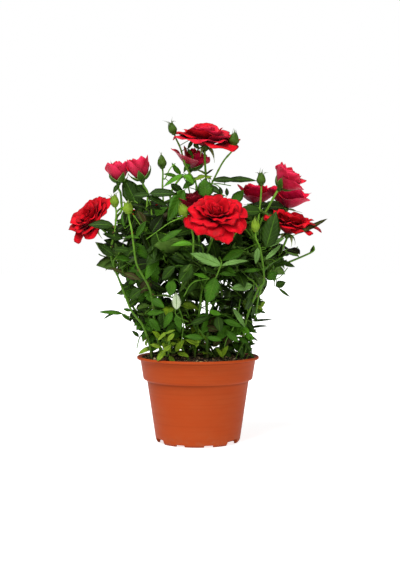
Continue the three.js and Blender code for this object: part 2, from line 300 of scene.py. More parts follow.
def turned(profile: Array, turns: Array) -> Array:
    """Points of a round surface.

    Formula: (r sin a, -r cos a, z) for each [r, z] of the profile and each angle a from the front.

    Args:
        profile: (n, 2) radius and height.
        turns: (m,) angles in radians.

    Returns:
        (n, m, 3) points.
    """
    radius, height = profile[:, :1], profile[:, 1:]
    x, y = radius * np.sin(turns), -radius * np.cos(turns)
    return np.stack((x, y, np.broadcast_to(height, x.shape)), axis=-1)


# ---- finishes


def scaled(colour: Triple, share: float) -> Triple:
    """A colour made darker or lighter by a share."""
    return tuple(c * share for c in colour)


class Dressing:
    """A material being made: its shader and short ways to add nodes to it."""

    def __init__(self, name: str, colour: Triple, roughness: float, shine: float, **constants: float) -> None:
        """Start a material with constant values on its shader.

        Args:
            name: the material's name.
            colour: its plain colour, linear.
            roughness: its plain roughness.
            shine: its specular level.
            constants: more of the shader's inputs by name, with _ for a space.
        """
        self.material = bpy.data.materials.new(name)
        self.material.use_nodes = True
        self.nodes = self.material.node_tree.nodes
        self.links = self.material.node_tree.links
        self.shader = self.nodes["Principled BSDF"]
        self.shader.inputs["Base Color"].default_value = (*colour, 1.0)
        self.shader.inputs["Roughness"].default_value = roughness
        self.shader.inputs["Specular IOR Level"].default_value = shine
        for key, value in constants.items():
            self.shader.inputs[key.replace("_", " ")].default_value = value
        self.material.diffuse_color = (*colour, 1.0)
        self.place = self.node("ShaderNodeTexCoord").outputs["Object"]

    def node(self, kind: str, **settings: object) -> bpy.types.Node:
        """Add a node.

        Args:
            kind: its type name.
            settings: properties by name; a key of the form in_3 sets or links input 3.

        Returns:
            The node.
        """
        made = self.nodes.new(kind)
        for key, value in settings.items():
            if not key.startswith("in_"):
                setattr(made, key, value)
        for key, value in settings.items():
            if key.startswith("in_"):
                socket = made.inputs[int(key[3:])]
                if isinstance(value, Socket):
                    self.links.new(value, socket)
                else:
                    socket.default_value = value
        return made

    def maths(self, operation: str, *values: object) -> Socket:
        """Result of a Math node on one, two or three values or sockets."""
        settings = {f"in_{i}": value for i, value in enumerate(values)}
        return self.node("ShaderNodeMath", operation=operation, **settings).outputs[0]

    def times(self, first: object, second: object) -> Socket:
        """Product of two values or sockets."""
        return self.maths("MULTIPLY", first, second)

    def noise(self, size: float, detail: float = 3.0, stretch: Triple = (1, 1, 1)) -> Socket:
        """Noise on the object's own coordinates.

        Args:
            size: size of its blots in mm.
            detail: how many finer layers it has.
            stretch: how much each axis is stretched.

        Returns:
            Its factor, about 0.5 on average.
        """
        scale = tuple(1.0 / s for s in stretch)
        place = self.node("ShaderNodeMapping", in_0=self.place, in_3=scale).outputs[0]
        return self.node("ShaderNodeTexNoise", in_0=place, in_2=1000.0 / size, in_3=detail).outputs[0]

    def span(self, value: Socket, low: float, high: float) -> Socket:
        """Value mapped from low..high to 0..1, clamped."""
        return self.node("ShaderNodeMapRange", in_0=value, in_1=low, in_2=high).outputs[0]

    def blots(self, size: float, detail: float, low: float, high: float,
              stretch: Triple = (1, 1, 1)) -> Socket:
        """Noise of a size, detail and stretch, mapped from low..high to 0..1."""
        return self.span(self.noise(size, detail, stretch), low, high)

    def blend(self, share: object, low: object, high: object) -> Socket:
        """Mix two colours by a share.

        Args:
            share: a factor or its socket.
            low: colour or socket at share 0.
            high: colour or socket at share 1.

        Returns:
            The mixed colour.
        """
        colours = [(*c, 1.0) if isinstance(c, tuple) else c for c in (low, high)]
        mix = self.node("ShaderNodeMix", data_type="RGBA", in_0=share, in_6=colours[0], in_7=colours[1])
        return mix.outputs[2]

    def colour(self, socket: Socket) -> None:
        """Use a colour as the shader's base colour."""
        self.links.new(socket, self.shader.inputs["Base Color"])

    def roughness(self, share: Socket, low: float, high: float) -> None:
        """Let the roughness go from low to high with a share."""
        ranged = self.node("ShaderNodeMapRange", in_0=share, in_3=low, in_4=high).outputs[0]
        self.links.new(ranged, self.shader.inputs["Roughness"])

    def bump(self, height: Socket, strength: float, depth: float) -> None:
        """Raise the surface a little by a height, on top of any bumps that it has.

        Args:
            height: the height, 0 to 1.
            strength: how much it shades.
            depth: how far the height 1 stands out, in mm.
        """
        before = self.shader.inputs["Normal"].links
        made = self.node("ShaderNodeBump", in_0=strength, in_1=depth * MM)
        self.links.new(height, made.inputs["Height"])
        if before:
            self.links.new(before[0].from_socket, made.inputs["Normal"])
        self.links.new(made.outputs[0], self.shader.inputs["Normal"])

    def surface(self) -> tuple[Socket, Socket]:
        """The piece's own surface coordinates.

        Returns:
            The way along and the way across.
        """
        own = self.node("ShaderNodeUVMap", uv_map="surface").outputs[0]
        parts = self.node("ShaderNodeSeparateXYZ", in_0=own)
        return parts.outputs[0], parts.outputs[1]

    def height(self) -> Socket:
        """Height above the pot's foot, in metres."""
        return self.node("ShaderNodeSeparateXYZ", in_0=self.place).outputs[2]


@dataclass(frozen=True)
class PotPlastic:
    """Satin moulded plastic: rings from the mould, mottling, scuffs, bands of painted shade, and dust at the
    foot.

    Its heights are in metres.
    """

    colour: Triple = (0.300, 0.042, 0.0070)
    faded: Triple = (0.300, 0.052, 0.0120)
    dust: Triple = (0.22, 0.09, 0.045)
    dust_top: float = 0.012
    # Painted shade: dark bands along the bottom of the foot, under the collar's step and under the lip.
    painted_shade_bands: tuple[Pair, ...] = ((0.0013, 0.0013), (0.0602, 0.0024), (0.0813, 0.0014))
    painted_shade_edge: float = 0.0003

    def material(self) -> Material:
        """Make the finish; a band of painted shade is the height of its upper edge and how far the shade runs
        down.

        Returns:
            Its material.
        """
        d = Dressing("pot_plastic", self.colour, 0.48, 0.05)
        mottle = d.blots(26.0, 4.0, 0.38, 0.72, (1, 1, 0.35))
        body = d.blend(d.times(mottle, 0.55), self.colour, self.faded)
        dusty = d.times(d.span(d.height(), self.dust_top, 0.0), d.blots(4.0, 5.0, 0.45, 0.75))
        body = d.blend(d.times(dusty, 0.5), body, self.dust)
        # Painted shade: each band is darkest at its upper edge and fades downwards.
        for top, depth in self.painted_shade_bands:
            shade_ramp = d.span(d.height(), top - depth, top)
            below = d.times(shade_ramp, d.span(d.height(), top + self.painted_shade_edge, top))
            body = d.blend(d.times(below, 0.6), body, scaled(self.colour, 0.35))
        rings = d.noise(1.3, 2.0, (60, 60, 1))
        brushed = d.times(d.span(rings, 0.5, 0.72), 0.3)
        d.colour(d.blend(brushed, body, scaled(self.colour, 0.72)))
        d.roughness(d.noise(9.0, 5.0, (1, 1, 0.2)), 0.40, 0.58)
        d.bump(rings, 0.35, 0.12)
        d.bump(d.noise(0.5, 2.0), 0.12, 0.05)
        d.bump(d.blots(2.2, 3.0, 0.62, 0.7, (8, 8, 0.5)), 0.12, 0.08)
        return d.material


@dataclass(frozen=True)
class Peat:
    """Dark moist potting soil: near black to brown, matt and crumbly."""

    dark: Triple = (0.022, 0.016, 0.006)
    light: Triple = (0.130, 0.085, 0.034)

    def material(self) -> Material:
        """Make the finish.

        Returns:
            Its material.
        """
        d = Dressing("peat", self.dark, 0.93, 0.2)
        d.colour(d.blend(d.blots(2.4, 6.0, 0.42, 0.75), self.dark, self.light))
        d.bump(d.noise(1.2, 6.0), 0.9, 0.8)
        return d.material


@dataclass(frozen=True)
class Speck:
    """A kind of bit in the soil, in one plain colour: its share of all bits, and its size in mm."""

    name: str
    colour: Triple
    share: float
    size: float

    def material(self) -> Material:
        """Make the finish.

        Returns:
            Its material.
        """
        d = Dressing(self.name, self.colour, 0.85, 0.25)
        d.colour(d.blend(d.blots(0.9, 4.0, 0.4, 0.66), scaled(self.colour, 0.45), self.colour))
        d.bump(d.noise(0.5, 3.0), 0.5, 0.2)
        return d.material


@dataclass(frozen=True)
class Bark:
    """Living bark: green and smooth, darkened low down by painted shade, brown and rough at the foot; heights
    in metres.
    """

    name: str
    colour: Triple
    lit: Triple
    brown_from: float
    brown_to: float
    foot: Triple = (0.085, 0.052, 0.026)
    ragged: float = 0.03
    # Painted shade on the wood low in the bush: it darkens from the first height down to the second, by the
    # share that follows.
    painted_shade_from: float = 0.212
    painted_shade_to: float = 0.180
    deep: float = 0.62

    def material(self) -> Material:
        """Make the finish.

        Returns:
            Its material.
        """
        d = Dressing(self.name, self.colour, 0.5, 0.1)
        green = d.blend(d.blots(3.0, 4.0, 0.36, 0.68, (1, 1, 6)), self.colour, self.lit)
        # Painted shade: the green darkens low down in the bush.
        lower = d.times(d.span(d.height(), self.painted_shade_from, self.painted_shade_to), self.deep)
        green = d.blend(lower, green, scaled(self.colour, 0.35))
        patchy = d.maths("ADD", d.height(), d.times(d.noise(7.0, 4.0), self.ragged))
        browned = d.span(patchy, self.brown_from + self.ragged / 2, self.brown_to + self.ragged / 2)
        d.colour(d.blend(browned, green, self.foot))
        d.roughness(browned, 0.45, 0.85)
        d.bump(d.noise(0.8, 4.0, (1, 1, 4)), 0.4, 0.15)
        return d.material


class LeafTint(Enum):
    """Plain colours of the upper sides of the leaves."""

    DEEP = (0.010, 0.020, 0.002)
    DARK = (0.019, 0.048, 0.004)
    GREEN = (0.036, 0.112, 0.005)
    FRESH = (0.075, 0.230, 0.010)
    YOUNG = (0.150, 0.240, 0.016)
    BRONZE = (0.040, 0.034, 0.009)
    OLIVE = (0.130, 0.215, 0.009)
    PALE = (0.120, 0.240, 0.055)
    SILVER = (0.400, 0.480, 0.300)


@dataclass(frozen=True)
class LeafFace:
    """Upper side of a leaf: satin, with side veins that run forward from the midrib."""

    tint: LeafTint
    veins: int = 8
    slant: float = 2.2

    def material(self) -> Material:
        """Make the finish.

        The vein pattern is the fraction of (veins times the way along, less slant times the way out from the
        midrib), folded so that it is 0 on a vein and 1 half way between two.

        Returns:
            Its material.
        """
        colour = self.tint.value
        d = Dressing(f"leaf_{self.tint.name.lower()}", colour, 0.45, 0.07)
        along, across = d.surface()
        out = d.times(d.maths("ABSOLUTE", d.maths("SUBTRACT", across, 0.5)), 2.0)
        phase = d.maths("SUBTRACT", d.times(along, float(self.veins)), d.times(out, self.slant))
        fold = d.maths("PINGPONG", phase, 0.5)
        vein = d.span(fold, 0.10, 0.0)
        blade = d.span(fold, 0.0, 0.5)
        lighter = tuple(min(1.0, c * 1.9 + 0.012) for c in colour)
        mottled = d.blend(d.blots(9.0, 4.0, 0.35, 0.7), scaled(colour, 0.62), colour)
        d.colour(d.blend(d.times(vein, 0.35), mottled, lighter))
        d.roughness(d.noise(5.0, 3.0), 0.36, 0.54)
        d.bump(blade, 0.5, 0.35)
        d.bump(d.noise(0.7, 3.0), 0.25, 0.08)
        return d.material


@dataclass(frozen=True)
class PlainLeaf:
    """A leaf's pale underside, its midrib, or another plain green part."""

    name: str
    colour: Triple
    roughness: float = 0.6

    def material(self) -> Material:
        """Make the finish.

        Returns:
            Its material.
        """
        d = Dressing(self.name, self.colour, self.roughness, 0.08)
        d.colour(d.blend(d.blots(5.0, 4.0, 0.35, 0.68), scaled(self.colour, 0.68), self.colour))
        d.bump(d.noise(0.8, 3.0), 0.3, 0.1)
        return d.material


class PetalTint(Enum):
    """Colours of a petal's face and back, and how much they shine."""

    SCARLET = ((0.55, 0.0022, 0.008), (0.42, 0.002, 0.007), 0.05)
    DEEP_RED = ((0.42, 0.0020, 0.006), (0.30, 0.002, 0.007), 0.05)
    CRIMSON = ((0.62, 0.004, 0.024), (0.60, 0.006, 0.042), 0.03)
    ROSE = ((0.60, 0.006, 0.020), (0.62, 0.013, 0.048), 0.12)
    DARK_RED = ((0.12, 0.0010, 0.005), (0.17, 0.0015, 0.008), 0.10)


@dataclass(frozen=True)
class PetalSide:
    """One side of a petal: velvety, with fine lines along it, with painted shade towards its foot and a
    lighter, pinker rim that is partly a painted highlight.
    """

    tint: PetalTint
    back: bool = False
    sheen: Triple = (1.0, 0.3, 0.4)
    # Gains of the lighter, pinker colour of the mottle; towards the rim it is partly a painted highlight and
    # partly the petal's own colour.
    lighter: Triple = (1.25, 1.8, 1.8)

    def material(self) -> Material:
        """Make the finish.

        Returns:
            Its material.
        """
        colour, shine = self.tint.value[int(self.back)], self.tint.value[2]
        name = f"petal_{self.tint.name.lower()}_{'back' if self.back else 'face'}"
        d = Dressing(name, colour, 0.48, shine, Sheen_Weight=0.08, Sheen_Roughness=0.4)
        d.shader.inputs["Sheen Tint"].default_value = (*self.sheen, 1.0)
        along, across = d.surface()
        lighter = tuple(c * gain for c, gain in zip(colour, self.lighter))
        mottled = d.blend(d.blots(7.0, 3.0, 0.35, 0.7), scaled(colour, 0.72), lighter)
        # Painted shade: the colour darkens towards the petal's foot, leaving the rim lightest.
        d.colour(d.blend(d.span(along, 0.12, 0.9), scaled(colour, 0.28), mottled))
        lines = d.node("ShaderNodeCombineXYZ", in_0=d.times(across, 34.0), in_1=d.times(along, 2.0))
        streaks = d.node("ShaderNodeTexNoise", in_0=lines.outputs[0], in_2=1.0, in_3=2.0).outputs[0]
        d.bump(streaks, 0.3, 0.15)
        return d.material


@cache
def dressed(finish: object) -> Material:
    """The material of a finish, made once and handed out again."""
    return finish.material()


GREEN_BARK = Bark("bark_green", (0.048, 0.135, 0.008), (0.105, 0.230, 0.016), 0.096, 0.080)
YOUNG_BARK = Bark("bark_young", (0.085, 0.215, 0.014), (0.160, 0.320, 0.030), 0.088, 0.078)
PRICKLE = PlainLeaf("prickle", (0.20, 0.12, 0.05), 0.5)
LEAF_UNDER = PlainLeaf("leaf_under", (0.062, 0.125, 0.016), 0.65)
MIDRIB = PlainLeaf("leaf_midrib", (0.050, 0.125, 0.008), 0.5)
SEPAL = PlainLeaf("sepal", (0.050, 0.120, 0.010), 0.5)
SEPAL_PALE = PlainLeaf("sepal_edge", (0.26, 0.34, 0.11), 0.6)
BUD_GREEN = PlainLeaf("bud_green", (0.048, 0.100, 0.010), 0.42)
BUD_FRESH = PlainLeaf("bud_fresh", (0.155, 0.255, 0.018), 0.42)
STRAW = Speck("straw", (0.36, 0.25, 0.10), 0.17, 0.6)
LITTER = (
    Speck("crumb_dark", (0.022, 0.014, 0.008), 0.55, 0.8),
    Speck("crumb_brown", (0.085, 0.045, 0.018), 0.2, 0.9),
    STRAW,
    Speck("crumb_pale", (0.42, 0.33, 0.17), 0.08, 0.7),
)


# ---- the pot


@dataclass
class Pot:
    """The moulded pot: sizes are radii, and heights above what it stands on.

    A notch and a gap in the foot each have a width, a height, and the radii that they run between.
    """

    height: float = 84.0
    lip_radius: float = 60.0
    lip_height: float = 2.8
    collar_top: float = 56.6
    collar_foot: float = 53.6
    collar_from: float = 62.0
    step: float = 2.0
    body_top: float = 50.0
    body_foot: float = 41.4
    foot_height: float = 2.0
    foot_radius: float = 39.5
    foot_width: float = 1.8
    disc_radius: float = 22.0
    wall: float = 1.6
    ease: float = 0.45
    notch: tuple[float, float, Pair] = (17.0, 4.8, (35.5, 43.4))
    gap: tuple[float, float, Pair] = (9.5, 1.9, (36.5, 42.4))
    gap_turn: float = 20.0
    repeats: int = 3
    facing: float = -5.0
    sharp: float = 32.0
    sides: int = 240

    def section(self) -> Array:
        """Half section, from the middle of the underside round the outside to the middle of the inner floor.

        Returns:
            (n, 2) radii and heights; a bend is two or three close points, so that its edge catches the light.
        """
        ease, foot, top, lip = self.ease, self.foot_height, self.height, self.lip_radius
        inner_foot, inner_top = self.foot_radius - self.foot_width, self.collar_top - self.wall
        floor, lip_low = foot + self.wall, top - self.lip_height
        step_low = self.collar_from - self.step
        side = [(lerp(self.body_foot, self.body_top, s), lerp(foot, step_low, s))
                for s in np.linspace(0.03, 0.985, 26)]
        collar = [(lerp(self.collar_foot, self.collar_top, s), lerp(self.collar_from, lip_low, s))
                  for s in np.linspace(0.06, 0.97, 9)]
        points = [
            (0, 0), (self.disc_radius * 0.5, 0), (self.disc_radius, 0), (self.disc_radius + foot, foot),
            (inner_foot - ease, foot), (inner_foot, foot - ease), (inner_foot, 0),
            (self.foot_radius, 0), (self.foot_radius + ease, ease / 2),
            (self.body_foot - ease, foot - ease), (self.body_foot, foot + ease),
            *side,
            (self.body_top, step_low - 0.3), (self.body_top + 0.35, step_low + 0.15),
            (self.collar_foot - 0.5, self.collar_from - 0.3), (self.collar_foot, self.collar_from + 0.35),
            *collar,
            (self.collar_top + 0.25, lip_low), (lip - 0.9, lip_low + 0.1), (lip - 0.25, lip_low + 0.5),
            (lip, top - self.lip_height / 2), (lip - 0.3, top - 0.5), (lip - 1.0, top),
            (self.collar_top + 0.6, top - 0.15), (inner_top + 0.3, top - 0.9), (inner_top - 0.2, top - 2.4),
            (self.collar_foot - self.wall, self.collar_from),
            (self.body_top - self.wall, step_low), (self.body_foot - self.wall, floor),
            (self.disc_radius + foot, floor), (self.disc_radius, self.wall), (0, self.wall),
        ]
        return np.array(points, float)

    def cutter(self, skin: Skin, width: float, top: float, reach: Pair, turn: float) -> None:
        """Add a rounded block across the wall at the foot, to cut with.

        Args:
            skin: the skin that it joins.
            width: across the block.
            top: height that it cuts up to.
            reach: radii between which it cuts.
            turn: its angle round the pot, in degrees.
        """
        corner = min(1.4, top * 0.45)
        arc = np.radians(np.linspace(0, 90, 5))
        right = (width / 2 - corner, top - corner) + corner * np.stack((np.cos(arc), np.sin(arc)), axis=1)
        left = right[::-1] * (-1, 1)
        outline = np.vstack(([(width / 2, -1.0)], right, left, [(-width / 2, -1.0)]))
        angle = math.radians(self.facing + turn)
        across = np.array([math.cos(angle), math.sin(angle), 0.0])
        outward = np.array([math.sin(angle), -math.cos(angle), 0.0])
        face = outline[:, :1] * across + outline[:, 1:] * UP
        points = np.stack([face + outward * radius for radius in reach])
        index = np.arange(2 * len(outline)).reshape(2, -1)
        skin.add(points, [(quads_of(closed(index))[:, ::-1], 0), (index[:1, ::-1], 0), (index[1:], 0)])

    def build(self) -> None:
        """Turn the section, cut the notches and gaps of the foot, and dress the pot."""
        profile = self.section()
        poles = np.array([[0, 0, profile[0, 1]], [0, 0, profile[-1, 1]]])
        skin = Skin()
        skin.add_capped(turned(profile[1:-1], circle(self.sides)), poles)
        pot = skin.piece("pot_shell", [dressed(PotPlastic())])
        self.cut_foot(pot)
        pot.data.set_sharp_from_angle(angle=math.radians(self.sharp))
        register(pot, "pot", "pot")

    def cut_foot(self, pot: Thing) -> None:
        """Cut the drainage notches and the gaps of the foot ring out of the pot.

        Args:
            pot: the pot's object, whose mesh is replaced by the cut one.
        """
        cutters = Skin()
        for repeat in range(self.repeats):
            start = repeat * 360 / self.repeats
            self.cutter(cutters, *self.notch, start + 180 / self.repeats)
            for turn in (-self.gap_turn, self.gap_turn):
                self.cutter(cutters, *self.gap, start + turn)
        tool = cutters.piece("foot_cutter", [])
        cut = pot.modifiers.new("foot", "BOOLEAN")
        cut.object, cut.operation, cut.solver = tool, "DIFFERENCE", "EXACT"
        bpy.context.view_layer.update()
        evaluated = pot.evaluated_get(bpy.context.evaluated_depsgraph_get())
        whole = bpy.data.meshes.new_from_object(evaluated)
        pot.modifiers.clear()
        pot.data = whole
        bpy.data.objects.remove(tool)


# ---- the soil


@dataclass
class Soil:
    """Potting soil up to the rim: an uneven crust with crumbs, bark and straw lying on it."""

    rng: Chance
    edge_radius: float = 54.4
    edge: float = 82.0
    crown: float = 84.2
    heap: Pair = (24.0, 38.0)
    heap_height: float = 3.0
    heap_spread: float = 320.0
    body: tuple[Pair, ...] = ((22.0, 2.2), (24.2, 4.4), (39.0, 4.4), (47.9, 60.0), (51.4, 62.5))
    rings: int = 46
    sides: int = 150
    crumbs: int = 2600

    def height_at(self, x: Array, y: Array) -> Array:
        """Height of the crust.

        Formula: a low mound, a heap behind on the right, and a few sine waves across each other for lumps
        of three sizes.

        Args:
            x: places to the right.
            y: places to the back.

        Returns:
            Heights there.
        """
        share = np.hypot(x, y) / self.edge_radius
        mound = lerp(self.crown, self.edge, share**2)
        away = (x - self.heap[0]) ** 2 + (y - self.heap[1]) ** 2
        mound = mound + self.heap_height * np.exp(-away / self.heap_spread)
        lumps = np.sin(x / 4.3 + 1) * np.cos(y / 5.3 - x / 14)
        lumps += 0.55 * np.sin(x / 1.9 + y / 3.1) * np.sin(y / 1.7 - x / 4.0 + 2)
        lumps += 0.3 * np.sin(x / 0.9 - y / 1.3 + 1) * np.sin(y / 0.8 + x / 2.1)
        return mound + lumps

    def crust(self) -> None:
        """Build the closed body of soil: crust, side wall inside the pot, and floor."""
        turns = circle(self.sides)
        radius = (np.linspace(0, 1, self.rings + 1)[1:] * self.edge_radius)[:, None]
        x, y = radius * np.sin(turns), -radius * np.cos(turns)
        top = np.stack((x, y, self.height_at(x, y)), axis=-1)[::-1]
        poles = np.array([(0, 0, self.body[0][1]), (0, 0, self.height_at(np.zeros(1), np.zeros(1))[0])])
        skin = Skin()
        skin.add_capped(np.concatenate((turned(np.array(self.body), turns), top)), poles)
        register(skin.piece("soil_crust", [dressed(Peat())]), "soil", "soil")

    def litter(self) -> None:
        """Scatter crumbs on the crust: each is a squashed eight-sided lump, some long like straw."""
        n = self.crumbs
        turn = self.rng.uniform(0, 2 * math.pi, n)
        radius = self.edge_radius * 0.99 * np.sqrt(self.rng.uniform(0, 1, n))
        x, y = radius * np.sin(turn), -radius * np.cos(turn)
        kind = self.rng.choice(len(LITTER), n, p=[speck.share for speck in LITTER])
        size = self.rng.lognormal(0.0, 0.45, n) * np.array([speck.size for speck in LITTER])[kind]
        long, short = self.rng.uniform(1.5, 4.0, n), self.rng.uniform(0.8, 1.5, n)
        length = size * np.where(kind == LITTER.index(STRAW), long, short)
        corners = np.array([(1, 0, 0), (-1, 0, 0), (0, 1, 0), (0, -1, 0), (0, 0, 1), (0, 0, -1)], float)
        lumps = corners + self.rng.uniform(-0.28, 0.28, (n, 6, 3))
        lumps *= np.stack((length, size * 0.8, size * 0.6), axis=-1)[:, None]
        heading = self.rng.uniform(0, 2 * math.pi, n)[:, None]
        tilt = self.rng.uniform(-0.5, 0.5, n)[:, None]
        lx, ly, lz = np.moveaxis(lumps, -1, 0)
        lz, lx = lz + lx * np.sin(tilt), lx * np.cos(tilt)
        wx = lx * np.cos(heading) - ly * np.sin(heading) + x[:, None]
        wy = lx * np.sin(heading) + ly * np.cos(heading) + y[:, None]
        wz = lz + (self.height_at(x, y) + size * 0.25)[:, None]
        faces = np.array([(0, 2, 4), (2, 1, 4), (1, 3, 4), (3, 0, 4),
                          (2, 0, 5), (1, 2, 5), (3, 1, 5), (0, 3, 5)])
        numbers = (faces + 6 * np.arange(n)[:, None, None]).reshape(-1, 3)
        skin = Skin()
        skin.add(np.stack((wx, wy, wz), axis=-1), [(numbers, np.repeat(kind, len(faces)))])
        register(skin.piece("soil_crumbs", [dressed(speck) for speck in LITTER], smooth=False), "soil")

    def build(self) -> None:
        """Build the crust and what lies on it."""
        self.crust()
        self.litter()


# ---- limbs


@dataclass(frozen=True)
class Limb:
    """A cane, bough or shoot: its path in mm, its radius along it, and its finish number."""

    path: Array
    radii: Array
    finish: int = 0

    def tangents(self) -> Array:
        """Unit directions along the path."""
        return unit(np.gradient(self.path, axis=0))

    def tube(self, skin: Skin, sides: int) -> None:
        """Add the limb's closed tube to a skin.

        Formula: at each point of the path, a circle square to it; a point just beyond either end closes it.

        Args:
            skin: the skin that it joins.
            sides: corners of its section.
        """
        rings = rings_round(self.path, self.radii, sides)
        ends = self.path[[0, -1]] + self.tangents()[[0, -1]] * self.radii[[0, -1], None] * [[-0.4], [0.4]]
        skin.add_capped(rings, ends, self.finish)


@dataclass(frozen=True)
class Taper:
    """How a limb thins out: its radius at either end, and how far apart its knuckles are, if it has any."""

    root: float
    top: float
    internode: float = 0.0
    knuckle: float = 0.24
    knuckle_length: float = 1.3

    def radii(self, path: Array, phase: float = 0.0, stout: float = 1.0) -> Array:
        """Radii along a path, with a slight knuckle at each node where a leaf once grew.

        Args:
            path: (n, 3) points.
            phase: where the first knuckle is, as a share of the distance between two.
            stout: how many times as thick as usual the limb is.

        Returns:
            (n,) radii.
        """
        along = way_along(path)
        radii = lerp(self.root * stout, self.top * stout, (along / along[-1]) ** 0.8)
        if self.internode:
            away = np.abs((along / self.internode - phase + 0.5) % 1.0 - 0.5) * self.internode
            radii = radii * (1 + self.knuckle * np.exp(-((away / self.knuckle_length) ** 2)))
        return radii


def arching(root: Array, end: Array, leaves: Array, arrives: Array, steps: int) -> Array:
    """A curve of some steps that leaves its root one way and comes to its end another way."""
    reach = np.linalg.norm(end - root) / 3
    return bezier((root, root + unit(leaves) * reach, end - unit(arrives) * reach, end), steps)


class BloomForm(Enum):
    """How far a flower has opened."""

    FLAT = 1
    FULL = 2
    DENSE = 3
    BOWL = 4
    HALF = 5
    CUP = 6

    def deep(self) -> bool:
        """Whether it is still deeper than it is wide open."""
        return self.value >= BloomForm.BOWL.value


@dataclass(frozen=True)
class BloomPlan:
    """A flower: its node, form, foot, the way it faces, its size and tints, and how its stalk comes to it.

    The stalk grows out of the mass named by root, through the places of via if there are any. A flare is the
    side, -1 left or 1 right, the degrees by which the outermost petal on that side leans out further, and how
    many times as long it is as its neighbours.
    """

    node: str
    form: BloomForm
    foot: Triple
    faces: Triple
    radius: float
    tint: PetalTint
    other_tint: PetalTint
    root: str
    via: tuple[Triple, ...] = ()
    droop: float = 0.0
    flare: tuple[int, float, float] = (0, 0.0, 1.0)
    seed: int = 0
    stout: float = 1.0


TOP, HIGH_LEFT, HIGH_RIGHT = "foliage_top", "foliage_high_left", "foliage_high_right"
FRONT, RIGHT, LEFT = "foliage_front", "foliage_right", "foliage_left"
FLAT, FULL, DENSE, BOWL, HALF, CUP = BloomForm
SCARLET, DEEP_RED, CRIMSON, ROSE, DARK_RED = PetalTint
BLOOM_PLANS = (
    BloomPlan("bloom_top", FLAT, (7, 8, 288), (0.07, -0.20, 0.98), 33, ROSE, SCARLET, TOP,
              ((8, 8, 258), (7, 8, 272)), droop=24, flare=(1, 4, 1.0), seed=41),
    BloomPlan("bloom_rear_top", HALF, (-8, 24, 267), (0.40, -0.14, 0.90), 13.5, CRIMSON, ROSE, TOP,
              ((-26, 20, 247), (-18, 22, 259)), flare=(-1, 38, 1.55), seed=2),
    BloomPlan("bloom_pair_outer", CUP, (-78, 4, 253), (0.02, -0.05, 1), 11.7, ROSE, ROSE, HIGH_LEFT,
              ((-75, 4, 232), (-76, 4, 244)), flare=(-1, 20, 1.0), seed=3),
    BloomPlan("bloom_pair_inner", CUP, (-54, -4, 255), (-0.24, -0.05, 0.97), 12.6, ROSE, ROSE, HIGH_LEFT,
              ((-50, -4, 226), (-49, -4, 243)), seed=4),
    BloomPlan("bloom_left", DENSE, (-97, -9, 212), (-0.60, -0.50, 0.62), 27, DEEP_RED, SCARLET, LEFT,
              ((-80, -6, 196),), droop=10, seed=5),
    BloomPlan("bloom_centre", FULL, (17, -54, 213), (0.05, -0.60, 0.80), 31, SCARLET, DEEP_RED, FRONT,
              droop=66, seed=6),
    BloomPlan("bloom_behind", HALF, (-3, -20, 222), (-0.15, -0.3, 0.94), 13, DARK_RED, DARK_RED, FRONT,
              seed=7),
    BloomPlan("bloom_right_high", HALF, (79, -8, 247), (0.60, -0.14, 0.79), 14.6, ROSE, ROSE, HIGH_RIGHT,
              ((58, -6, 208), (64, -7, 221)), flare=(1, 22, 1.1), seed=28),
    BloomPlan("bloom_right_inner", BOWL, (59, 42, 233), (0.10, -0.12, 0.98), 16.5, CRIMSON, CRIMSON,
              HIGH_RIGHT, flare=(-1, 14, 1.0), seed=9),
    BloomPlan("bloom_right_outer", BOWL, (88, 25, 228), (0.14, -0.10, 0.98), 18, CRIMSON, CRIMSON, RIGHT,
              ((80, 8, 206), (85, 16, 217)), flare=(1, 12, 1.0), seed=40),
    BloomPlan("bloom_right_low", DENSE, (86, -18, 202), (0.20, -0.18, 0.96), 29, SCARLET, DEEP_RED, RIGHT,
              ((72, -10, 170), (79, -16, 184)), flare=(1, 24, 1.0), seed=11),
    BloomPlan("bloom_back_left", FULL, (-50, 92, 215), (-0.30, 0.66, 0.69), 26, SCARLET, SCARLET,
              "foliage_back_left", droop=20, seed=12),
    BloomPlan("bloom_back_right", DENSE, (54, 88, 205), (0.35, 0.62, 0.70), 25, DEEP_RED, CRIMSON,
              "foliage_back_right", droop=20, seed=13),
)


@dataclass(frozen=True)
class BudPlan:
    """A bud: its node, foot, the way it points, its size, and how its shoot comes to it.

    loose is how far the tips of its sepals stand out, in degrees, and fresh is 1 on the lighter green ones.
    """

    node: str
    foot: Triple
    faces: Triple
    root: str
    via: tuple[Triple, ...] = ()
    length: float = 13.0
    radius: float = 4.4
    loose: float = 6.0
    fresh: int = 0
    stout: float = 0.78


BUD_PLANS = (
    BudPlan("bud_top_left", (-23, 5, 301), (-0.35, 0, 0.94), TOP,
            ((-4, 4, 257), (-12, 4, 270), (-17, 4, 287)), 13, 4.4, loose=110),
    BudPlan("bud_top_right", (34, -6, 289), (0.16, -0.1, 0.98), TOP, ((12, 3, 250), (24, -2, 273)),
            13, 5.4, 50),
    BudPlan("bud_upper_left", (-35, 10, 268), (-0.08, 0, 1), HIGH_LEFT, ((-34, 10, 232), (-35, 10, 250)),
            13.5, 4.7),
    BudPlan("bud_upper_right", (61, -15, 250), (-0.02, 0, 1), HIGH_RIGHT, ((58, -12, 212), (60, -14, 230)),
            13, 4.6, loose=90),
    BudPlan("bud_left_outer", (-79, -25, 229), (-0.15, 0, 1), "cane_left_outer", (), 11.5, 4.5, 60, 1),
    BudPlan("bud_left_front", (-65, -46, 222), (-0.12, -0.1, 1), "cane_left_front", (), 11.5, 5.2, 100, 1),
    BudPlan("bud_centre", (-11, -58, 220), (-0.45, -0.1, 0.88), FRONT,
            ((-5, -56, 177), (-4, -60, 197), (-6, -60, 208)), 11.5, 5.3, 10, 1),
    BudPlan("bud_right_front", (54, -48, 205), (-0.05, -0.1, 1), "cane_right_front", (), 12, 4.5, 8, 1),
)


